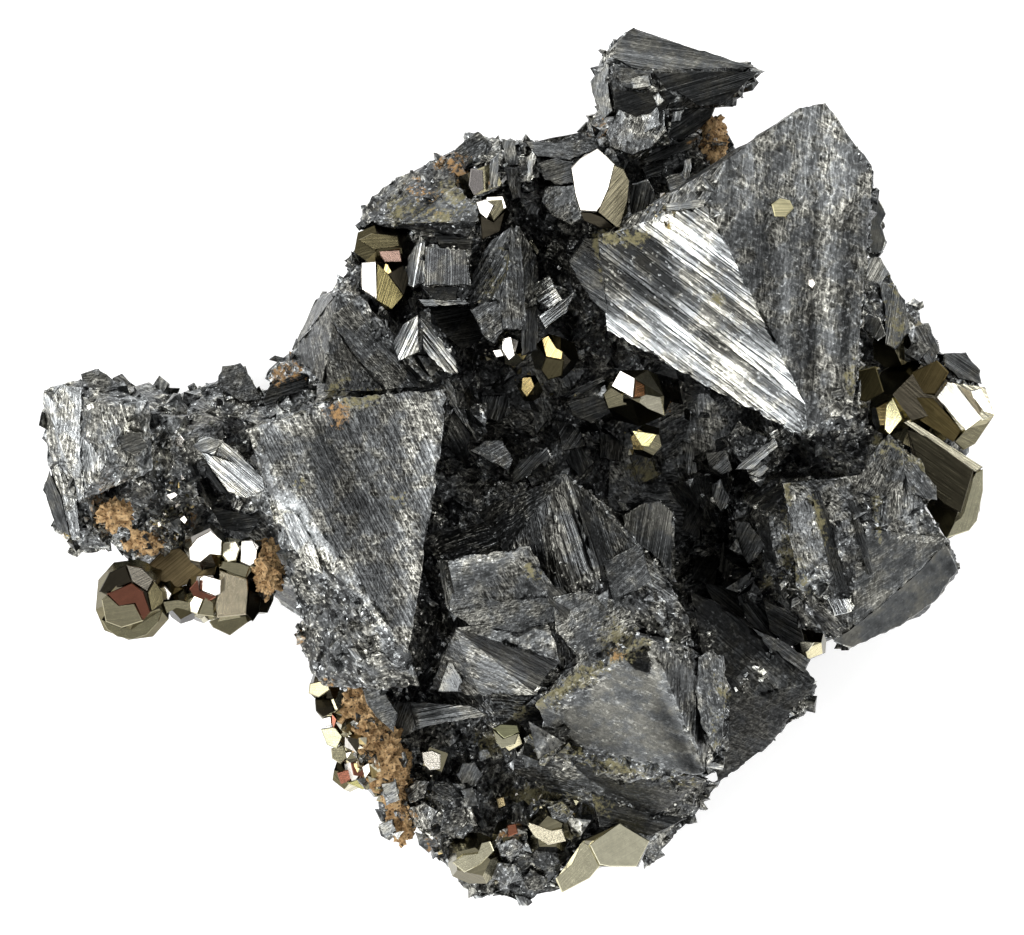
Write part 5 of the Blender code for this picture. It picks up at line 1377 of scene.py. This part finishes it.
# Each face's colour is its brass and tarnish with painted light: faces that lean towards the lamps are painted
# light, almost white, those that look away dark, as painted shade.
PYRITE_FACES = [
    # the crystal at the top
    Face([(571, 170), (580, 160), (597, 150), (605, 157), (614, 166), (608, 190), (600, 208), (596, 213),
          (580, 212), (575, 196)], PAINTED_HIGHLIGHT_BRASS, (182, 22), 80, 0.06, 0.16, 0.5, 4),
    Face([(614, 166), (623, 170), (629, 182), (627, 202), (619, 230), (598, 213), (608, 190)], (0.10, 0.09,
         0.06),
         (0, 26), 42, 1.0, 0.2, 0.3, 4),
    Face([(580, 213), (597, 214), (618, 231), (600, 228), (583, 221)], PAINTED_SHADE_BRASS, (270, 25), 0, 0.3, 0.3, 0.1, 3),
    # the pair at the upper left
    Face([(362, 263), (376, 262), (377, 300), (362, 290)], PAINTED_HIGHLIGHT_BRASS, (182, 22), 80, 0.1, 0.16, 0.6, 3),
    Face([(377, 263), (388, 274), (404, 296), (392, 310), (377, 301)], (0.17, 0.145, 0.065), (20, 20), 70,
         1.0, 0.2,
         0.4, 3),
    Face([(388, 274), (402, 266), (410, 276), (404, 296)], PAINTED_SHADE_BRASS, (30, 24), 70, 0.8, 0.3, 0.2, 3),
    Face([(358, 240), (372, 233), (398, 236), (400, 246), (374, 250)], OLIVE, (90, 14), 0, 0.6, 0.26, 0.4, 3),
    Face([(378, 251), (400, 250), (402, 262), (384, 262)], (0.30, 0.20, 0.16), (180, 12), 0, 0.4, 0.24, 0.4, 3),
    # small ones between the ledge and the recess
    Face([(476, 203), (486, 200), (494, 206), (487, 220), (480, 214)], PAINTED_HIGHLIGHT_BRASS, (182, 22), 60, 0.3, 0.16, 0.6, 2),
    Face([(487, 201), (502, 200), (504, 210), (494, 222), (490, 214), (495, 206)], KHAKI, (150, 16), 60, 0.8,
         0.18,
         0.5, 2),
    Face([(480, 216), (494, 223), (505, 212), (500, 232), (482, 240)], PAINTED_SHADE_BRASS, (270, 24), 0, 0.3, 0.3, 0.1, 2),
    Face([(471, 169), (483, 171), (484, 190), (474, 196), (469, 186)], (0.27, 0.25, 0.24), (160, 8), 0, 0.1,
         0.26,
         0.7, 2),
    Face([(502, 338), (511, 336), (515, 356), (509, 361), (502, 350)], PAINTED_HIGHLIGHT_BRASS, (182, 22), 60, 0.1, 0.16, 0.8, 2),
    Face([(492, 350), (501, 349), (504, 356), (496, 358)], PAINTED_HIGHLIGHT_BRASS, (182, 22), 60, 0.3, 0.2, 0.8, 2),
    Face([(541, 338), (548, 335), (556, 348), (563, 352), (562, 360), (546, 357)], GOLD, (190, 18), 60, 0.6,
         0.2,
         0.7, 2),
    Face([(546, 357), (564, 360), (562, 376), (548, 380), (541, 370)], OLIVE, (270, 20), 60, 0.4, 0.3, 0.3, 2),
    Face([(522, 377), (531, 376), (535, 386), (527, 398), (521, 390)], GOLD, (190, 20), 40, 0.5, 0.2, 0.8, 2),
    Face([(528, 240), (532, 238), (539, 250), (537, 254)], PALE, (182, 20), 60, 0.3, 0.2, 0.8, 1.5),
    # the hollow crystal
    Face([(611, 386), (620, 370), (635, 378), (633, 398)], PAINTED_HIGHLIGHT_BRASS, (182, 22), 24, 0.5, 0.16, 0.7, 3),
    Face([(603, 394), (611, 387), (632, 400), (626, 405), (608, 409)], KHAKI, (260, 16), 24, 0.7, 0.2, 0.4, 3),
    Face([(635, 379), (645, 385), (645, 395), (634, 398)], (0.26, 0.13, 0.06), (0, 18), 20, 0.5, 0.2, 0.5, 3),
    Face([(634, 399), (646, 394), (661, 397), (665, 416), (648, 409)], PALE, (240, 14), 20, 0.3, 0.18, 0.5, 3),
    Face([(632, 430), (658, 434), (650, 447), (642, 446)], (0.66, 0.60, 0.30), (200, 14), 40, 0.5, 0.18, 0.7,
         2),
    # the striped crystal at the right
    Face([(937, 397), (948, 382), (958, 386), (982, 418), (966, 430)], (0.86, 0.84, 0.76), (182, 22), -52, 1.0,
         0.16, 0.5, 4),
    Face([(958, 385), (970, 390), (985, 411), (982, 418)], (0.22, 0.19, 0.13), (20, 18), -52, 1.0, 0.22, 0.4,
         4),
    Face([(969, 391), (981, 388), (995, 415), (985, 412)], (0.86, 0.84, 0.76), (182, 22), -58, 0.9, 0.16,
         0.5, 4),
    Face([(966, 430), (984, 419), (994, 417), (976, 444), (964, 450), (955, 442)], KHAKI, (300, 22), -30, 0.4,
         0.2, 0.2, 4),
    # the dark crystal with the double edge below it
    Face([(908, 430), (926, 436), (974, 470), (969, 486), (961, 513), (944, 504), (926, 486)],
         (0.05, 0.045, 0.03), (120, 10), -35, 0.8, 0.2, 0.2, 4),
    Face([(904, 422), (909, 419), (984, 467), (977, 472)], (0.34, 0.32, 0.24), (60, 18), -33, 1.0, 0.2, 0.7, 4),
    Face([(977, 472), (984, 469), (984, 491), (978, 521), (970, 531), (948, 538), (960, 513), (969, 488)],
         (0.42, 0.40, 0.28), (330, 20), 75, 0.2, 0.2, 0.4, 4),
    Face([(887, 404), (893, 398), (903, 419), (890, 435), (885, 430)], (0.80, 0.74, 0.42), (190, 16), 60, 0.4,
         0.18, 0.9, 3),
    Face([(852, 372), (876, 366), (884, 392), (866, 402), (850, 396)], (0.10, 0.085, 0.04), (150, 14), 60, 0.6,
         0.3, 0.3, 3),
    Face([(912, 372), (938, 360), (950, 372), (936, 394), (918, 394)], (0.13, 0.10, 0.045), (150, 14), 60, 0.6,
         0.3, 0.3, 3),
    Face([(905, 396), (934, 398), (962, 430), (954, 442), (914, 416)], (0.09, 0.07, 0.03), (130, 12), -40, 0.8,
         0.3, 0.2, 3),
    # the bright cluster under the arm, with brown scales behind it
    Face([(146, 566), (160, 552), (178, 548), (192, 560), (214, 564), (218, 578), (196, 582), (176, 588),
         (156, 580)],
         (0.15, 0.115, 0.06), (120, 12), 40, 0.9, 0.3, -1.2, 3, 0.6),
    Face([(190, 560), (189, 548), (197, 538), (210, 531), (222, 541), (221, 555), (210, 554), (200, 562)],
         PAINTED_HIGHLIGHT_BRASS,
         (182, 22), 0, 0.05, 0.16, 0.6, 3),
    Face([(222, 543), (236, 541), (240, 548), (236, 560), (227, 562), (222, 556)], PALE, (220, 16), 0, 0.1,
         0.18,
         0.5, 3),
    Face([(241, 541), (252, 540), (257, 550), (256, 562), (250, 566), (240, 562)], PAINTED_HIGHLIGHT_BRASS, (182, 22), 0, 0.05,
         0.16, 0.6, 3),
    Face([(222, 561), (240, 563), (250, 567), (246, 578), (236, 575), (219, 568)], KHAKI, (250, 18), 0, 0.2,
         0.18, 0.5, 3),
    Face([(219, 570), (236, 576), (247, 579), (248, 592), (246, 615), (217, 618), (213, 606), (219, 590)],
         (0.34, 0.30, 0.215), (230, 14), 0, 0.08, 0.18, 0.5, 4),
    Face([(217, 619), (246, 616), (248, 622), (229, 636), (212, 628), (208, 622)], (0.17, 0.155, 0.095),
         (240, 16), 0,
         0.2, 0.18, 0.2, 3),
    Face([(248, 590), (260, 596), (259, 612), (252, 622), (246, 615)], PAINTED_SHADE_BRASS, (0, 30), 80, 0.3, 0.2, 0.2, 3),
    Face([(199, 578), (203, 575), (221, 580), (220, 594), (215, 596), (199, 590)], PAINTED_HIGHLIGHT_BRASS, (182, 22), 0, 0.05,
         0.16, 0.7, 3),
    Face([(189, 589), (197, 580), (199, 591), (216, 597), (208, 602), (193, 596)], RED, (250, 16), 0, 0.2, 0.18,
         0.5, 3),
    Face([(196, 592), (204, 597), (197, 614), (190, 612), (189, 603)], PALE, (200, 18), 0, 0.1, 0.18, 0.4, 3),
    Face([(205, 597), (213, 602), (214, 617), (197, 615)], KHAKI, (280, 20), 0, 0.2, 0.18, 0.3, 3),
    Face([(158, 588), (164, 586), (171, 594), (168, 600), (160, 600)], PAINTED_HIGHLIGHT_BRASS, (182, 22), 0, 0.05, 0.18, 0.6, 2),
    Face([(161, 602), (178, 600), (190, 603), (191, 612), (176, 608), (165, 614)], KHAKI, (270, 20), 0, 0.2,
         0.18, 0.3, 2),
    # the crystal that hangs from their end
    Face([(106, 594), (131, 583), (143, 592), (150, 612), (143, 620), (135, 603), (118, 606)], RED, (130,
         10), 30,
         0.15, 0.18, 0.6, 4),
    Face([(101, 600), (106, 595), (118, 606), (134, 604), (143, 621), (121, 628), (105, 622)], KHAKI, (250, 16),
         10, 0.3, 0.18, 0.5, 4),
    Face([(100, 620), (105, 623), (121, 629), (143, 622), (162, 610), (158, 622), (146, 635), (131, 640),
         (116, 637),
          (106, 630)], (0.20, 0.185, 0.115), (240, 14), 10, 0.2, 0.2, 0.1, 3),
    Face([(98, 592), (108, 573), (125, 565), (131, 582), (106, 593)], PAINTED_SHADE_BRASS, (140, 24), 30, 0.3, 0.2, 0.3, 3),
    Face([(126, 565), (141, 568), (153, 580), (147, 592), (132, 582)], (0.12, 0.11, 0.09), (60, 20), 30, 0.4,
         0.2,
         0.3, 3),
    Face([(147, 593), (154, 581), (162, 592), (163, 603), (151, 612)], OLIVE, (20, 26), 60, 0.4, 0.2, 0.3, 3),
    # the cluster at the lower left
    Face([(309, 684), (326, 680), (330, 690), (318, 698), (308, 694)], KHAKI, (200, 16), 0, 0.3, 0.2, 0.5, 2),
    Face([(314, 700), (330, 700), (334, 712), (322, 718), (315, 712)], PAINTED_SHADE_BRASS, (120, 14), 0, 0.3, 0.2, 0.4, 2),
    Face([(322, 719), (330, 717), (331, 726), (325, 728)], PAINTED_HIGHLIGHT_BRASS, (182, 22), 0, 0.1, 0.18, 0.7, 2),
    Face([(331, 714), (336, 720), (333, 730), (331, 724)], RED, (200, 16), 0, 0.1, 0.18, 0.6, 2),
    Face([(320, 730), (334, 728), (342, 738), (336, 750), (326, 746)], (0.34, 0.33, 0.22), (210, 16), 0, 0.3,
         0.2,
         0.5, 2),
    Face([(330, 750), (342, 746), (348, 758), (340, 766), (331, 760)], KHAKI, (230, 16), 0, 0.3, 0.2, 0.5, 2),
    Face([(350, 764), (360, 760), (366, 766), (363, 778), (353, 776)], RED, (150, 10), 0, 0.1, 0.18, 0.7, 2),
    Face([(362, 767), (369, 763), (370, 772), (365, 779)], PAINTED_HIGHLIGHT_BRASS, (182, 22), 0, 0.05, 0.16, 0.8, 2),
    Face([(336, 774), (350, 770), (350, 782), (340, 786)], RED, (220, 16), 0, 0.2, 0.2, 0.4, 2),
    Face([(346, 784), (364, 779), (372, 786), (362, 791)], (0.30, 0.28, 0.12), (280, 24), 0, 0.3, 0.2, 0.2, 2),
    Face([(345, 754), (354, 752), (352, 759), (346, 760)], PAINTED_HIGHLIGHT_BRASS, (182, 22), 0, 0.1, 0.2, 0.7, 1.5),
    # the front and the foot
    Face([(493, 728), (500, 724), (518, 725), (520, 732), (504, 738)], (0.34, 0.34, 0.20), (100, 12), 0, 0.3,
         0.2,
         0.6, 2.5),
    Face([(493, 730), (503, 739), (519, 733), (515, 744), (502, 748), (496, 742)], (0.50, 0.48, 0.34), (250,
         16),
         0, 0.2, 0.2, 0.4, 2.5),
    Face([(422, 752), (432, 750), (441, 754), (440, 769), (430, 770), (424, 764)], (0.5, 0.47, 0.41), (150, 16),
         0, 0.2, 0.16, 0.9, 2),
    Face([(620, 824), (650, 842), (637, 868), (610, 868), (600, 866), (590, 846), (600, 838)], (0.68, 0.65,
         0.48),
         (240, 8), 30, 0.12, 0.2, 0.4, 4),
    Face([(583, 842), (590, 847), (600, 868), (590, 880), (562, 895), (556, 880), (572, 866)], (0.58, 0.55,
         0.39),
         (250, 18), 50, 0.3, 0.2, 0.4, 4),
    Face([(452, 864), (462, 857), (478, 855), (482, 844), (490, 842), (494, 852), (480, 866), (464, 874)],
         (0.56, 0.53, 0.38), (250, 10), 30, 0.5, 0.26, 0.5, 2.5),
    Face([(524, 822), (536, 826), (552, 832), (562, 830), (566, 842), (548, 846), (534, 838)], (0.50, 0.46,
         0.34),
         (200, 12), 20, 0.3, 0.22, 0.5, 2.5),
    Face([(507, 826), (516, 824), (518, 834), (508, 838)], (0.30, 0.12, 0.07), (120, 10), 0, 0.2, 0.25, 0.8,
         1.5),
    Face([(496, 800), (504, 798), (506, 808), (498, 811)], (0.50, 0.40, 0.22), (200, 12), 0, 0.3, 0.25, 0.5,
         1.5),
    Face([(573, 800), (580, 802), (576, 808)], (0.52, 0.49, 0.33), (200, 12), 0, 0.3, 0.25, 0.5, 1.5),
    Face([(800, 641), (816, 643), (810, 652), (803, 654)], (0.55, 0.53, 0.42), (200, 14), 0, 0.2, 0.2, 0.3,
         2.5),
    # flashes on the arm and specks on the largest tetrahedron
    Face([(174, 438), (180, 435), (184, 440), (181, 447), (176, 446)], PAINTED_HIGHLIGHT_BRASS, (182, 22), 0, 0.1, 0.2, 0.8, 1.5),
    Face([(165, 495), (174, 492), (178, 495), (170, 500)], PAINTED_HIGHLIGHT_BRASS, (182, 22), 0, 0.1, 0.2, 0.8, 1.5),
    Face([(178, 519), (183, 515), (187, 520), (184, 525)], PAINTED_HIGHLIGHT_BRASS, (182, 22), 0, 0.1, 0.2, 0.8, 1.5),
    Face([(806, 281), (811, 280), (814, 285), (810, 290), (806, 287)], PAINTED_HIGHLIGHT_BRASS, (182, 22), 0, 0.1, 0.2, 0.3, 1.0),
    Face([(770, 206), (778, 200), (788, 202), (792, 210), (784, 218), (773, 218)], (0.50, 0.46, 0.28), (150, 5),
         0, 0.9, 0.36, 0.25, 1.2),
]


rock = dressed_rock()
pyrite = pyrite_crystals()
limonite = limonite_crusts()

cad_tree = cad_surface("tetrahedrite_mass", *PYRITE_NODES, *LIMONITE_NODES)
covered_points = set()
make_room(rock, STEEL_FACES, cad_tree, covered_points)
make_room(rock, PYRITE_FACES, cad_tree, covered_points)
make_room(pyrite, PYRITE_FACES, cad_tree, set())
steel_faces = face_blocks("tetrahedrite_small_crystals", STEEL_FACES, cad_tree, STEEL)
pyrite_faces = face_blocks("pyrite_faces", PYRITE_FACES, cad_tree, BRASS, tinted=True)

# Crystals one millimetre across, by their corners
BLOCK = [(-0.4, -0.3, -0.3), (0.4, -0.3, -0.35), (0.4, 0.3, -0.3), (-0.35, 0.3, -0.3), (-0.3, -0.2, 0.3),
         (0.3, -0.25, 0.35), (0.25, 0.25, 0.2)]
SLAB = [(-0.5, -0.35, -0.12), (0.5, -0.3, -0.1), (0.45, 0.3, -0.14), (-0.4, 0.36, -0.1), (-0.42, -0.28, 0.14),
        (0.4, -0.25, 0.12), (0.3, 0.28, 0.16)]
BLUNT = [(0.12, 0, 0.42), (-0.1, 0.12, 0.4), (0, -0.17, 0.4), (0.45, -0.3, -0.25), (-0.45, -0.32, -0.25),
         (0, 0.5, -0.25), (0.42, -0.15, -0.05), (-0.4, -0.16, -0.05)]
BLADE = [(-0.6, -0.12, 0), (0.6, -0.1, 0.05), (0.5, 0.1, 0.2), (-0.5, 0.14, 0.2), (0.4, 0.1, -0.2),
    (-0.5, 0.1, -0.2)]
# tints for strewn pyrite, with the painted highlight and the painted shade among them
BRASS_TINTS = (PAINTED_HIGHLIGHT_BRASS, PALE, GOLD, KHAKI, KHAKI, OLIVE, PAINTED_SHADE_BRASS)


def strewn_levels(obj, levels):
    """Stores where small crystals may grow on a surface, 0 where it is bare, covered or near the flat cut."""
    places = mesh_points(obj.data)
    levels = levels * (places[:, 2] > CLEAR_OF_CUT) * np.where(upward(obj.data) < -0.1, 0.35, 1.0)
    if obj == rock:
        levels[list(covered_points)] = 0.0
    thick = np.array([0.5 + noise.noise(Vector(place) * 0.25) for place in places])
    levels = np.maximum(levels * thick, 0.0)
    if "strewn" in obj.data.attributes:
        obj.data.attributes["strewn"].data.foreach_set("value", levels.astype(np.float32))
    else:
        store(obj.data, "strewn", levels)


def grow(name, host, levels, crystals, per_square, least, greatest, seed, finish=STEEL, soiled=True):
    """A finished piece of small crystals, so many per square mm and between two sizes in mm."""
    strewn_levels(host, levels)
    made = strewn(name, host, crystals, per_square, least, greatest, seed, finish)
    if soiled:
        soil_and_painted_light(made.data)
    kept(made, "pyrite" if finish == BRASS else "tetrahedrite")


chips = hidden_group("chips", [
    crystal_shape("block", BLOCK),
    crystal_shape("slab", SLAB),
    crystal_shape("blunt", BLUNT),
    crystal_shape("blade", BLADE),
])
gems = hidden_group("gems", [
    crystal_shape("gem_block", BLOCK, (0.02, 0.14)),
    crystal_shape("gem", BLUNT, (0.02, 0.22)),
    crystal_shape("gem_blade", BLADE, (0.03, 0.26)),
])
# flakes and mirrors are small crystals in light tones: painted glints
flakes = hidden_group("flakes", [
    crystal_shape("flake", SLAB, (0.25, 0.75)),
    crystal_shape("speck", BLUNT, (0.2, 0.7)),
])
mirrors = hidden_group("mirrors", [
    crystal_shape("mirror", SLAB, (0.5, 0.95)),
    crystal_shape("shard", BLADE, (0.4, 0.9)),
])
nuggets = hidden_group("nuggets", [
    crystal_shape("cube", BLOCK, tints=BRASS_TINTS),
    crystal_shape("nugget", BLUNT, tints=BRASS_TINTS),
])

craggy = np.empty(len(rock.data.vertices), np.float32)
rock.data.attributes["craggy"].data.foreach_get("value", craggy)
broken = np.maximum(0.0, (craggy - 0.55) / 0.45)
seen = in_view(rock.data)
hollows = np.clip(patches(seen, RECESS_STRETCHES) * 3.0, 0.0, 1.0)
bright_edges = np.clip(patches(seen, SPARKLE_STRETCHES) * 2.0, 0.0, 1.0)
glittering = patches(seen, GLITTER_PATCHES) * 1.6
seam = patches(in_view(limonite.data), [PYRITE_SEAM]) * 2.0
all_over = np.full(len(limonite.data.vertices), 0.6)

grow("tetrahedrite_druse", rock, broken, chips, 0.8, 0.4, 2.2, 3)
grow("tetrahedrite_recess_crystals", rock, hollows, gems, 0.16, 1.6, 5.0, 6)
# the glints and the sparkle are painted glints: light-toned crystals
grow("tetrahedrite_glints", rock, broken, flakes, 1.1, 0.2, 0.7, 8)
grow("tetrahedrite_sparkle", rock, bright_edges, mirrors, 1.9, 0.25, 0.95, 31, soiled=False)
grow("pyrite_glitter", rock, glittering, nuggets, 2.4, 0.25, 0.9, 12, BRASS, soiled=False)
grow("pyrite_small_crystals", limonite, seam, nuggets, 1.6, 0.7, 2.4, 21, BRASS, soiled=False)
grow("limonite_chips", limonite, all_over, chips, 0.9, 0.4, 1.8, 5)

kept(rock, "tetrahedrite", "tetrahedrite_mass")
kept(steel_faces, "tetrahedrite")
kept(pyrite_faces, "pyrite")
kept(pyrite, "pyrite", *PYRITE_NODES)
kept(limonite, "limonite", *LIMONITE_NODES)

# Floor, light and camera


def pale_floor():
    shape = bmesh.new()
    half = FLOOR_HALF
    corners = [(-half, -half), (half, -half), (half, half), (-half, half)]
    shape.faces.new([shape.verts.new((x, y, 0.0)) for x, y in corners])
    paint = Finish("pale_floor").ends_in(
        base_color=(0.93, 0.93, 0.93, 1.0),
        roughness=1.0,
        emission_color=(1.0, 1.0, 1.0, 1.0),
        emission_strength=0.28,
    )
    shown("floor", plain_mesh("floor", shape), paint)


def softbox(name, place, width, length, power):
    """A rectangular lamp that is aimed at the specimen's middle."""
    data = bpy.data.lights.new(name, "AREA")
    data.shape = "RECTANGLE"
    data.size, data.size_y = width, length
    data.energy = power
    obj = bpy.data.objects.new(name, data)
    bpy.context.scene.collection.objects.link(obj)
    obj.location = place
    obj.rotation_mode = "QUATERNION"
    obj.rotation_quaternion = (Vector((0, 0, 0.02)) - Vector(place)).to_track_quat("-Z", "Y")


def studio():
    world = bpy.data.worlds.new("studio")
    bpy.context.scene.world = world
    world.use_nodes = True
    sky = world.node_tree.nodes["Background"].inputs
    sky[0].default_value = (1.0, 1.0, 1.0, 1.0)
    sky[1].default_value = 0.55
    softbox("left_softbox", (-0.62, -0.10, 0.50), 0.55, 0.7, 6.0)
    softbox("upper_softbox", (0.10, 0.70, 0.55), 0.8, 0.4, 5.0)
    softbox("right_softbox", (0.70, 0.05, 0.45), 0.35, 0.6, 3.0)
    softbox("lower_softbox", (0.0, -0.75, 0.40), 0.8, 0.35, 3.0)
    bpy.context.scene.view_settings.view_transform = "Standard"


def camera():
    data = bpy.data.cameras.new("view_from_above")
    data.sensor_width = 36.0
    data.lens = data.sensor_width * CAMERA_FAR / VIEW_WIDTH
    data.clip_start = 0.1
    data.clip_end = 10.0
    obj = bpy.data.objects.new("view_from_above", data)
    bpy.context.scene.collection.objects.link(obj)
    obj.location = (*CAMERA_ASIDE, VIEW_PLANE + CAMERA_FAR)
    bpy.context.scene.camera = obj


pale_floor()
studio()
camera()
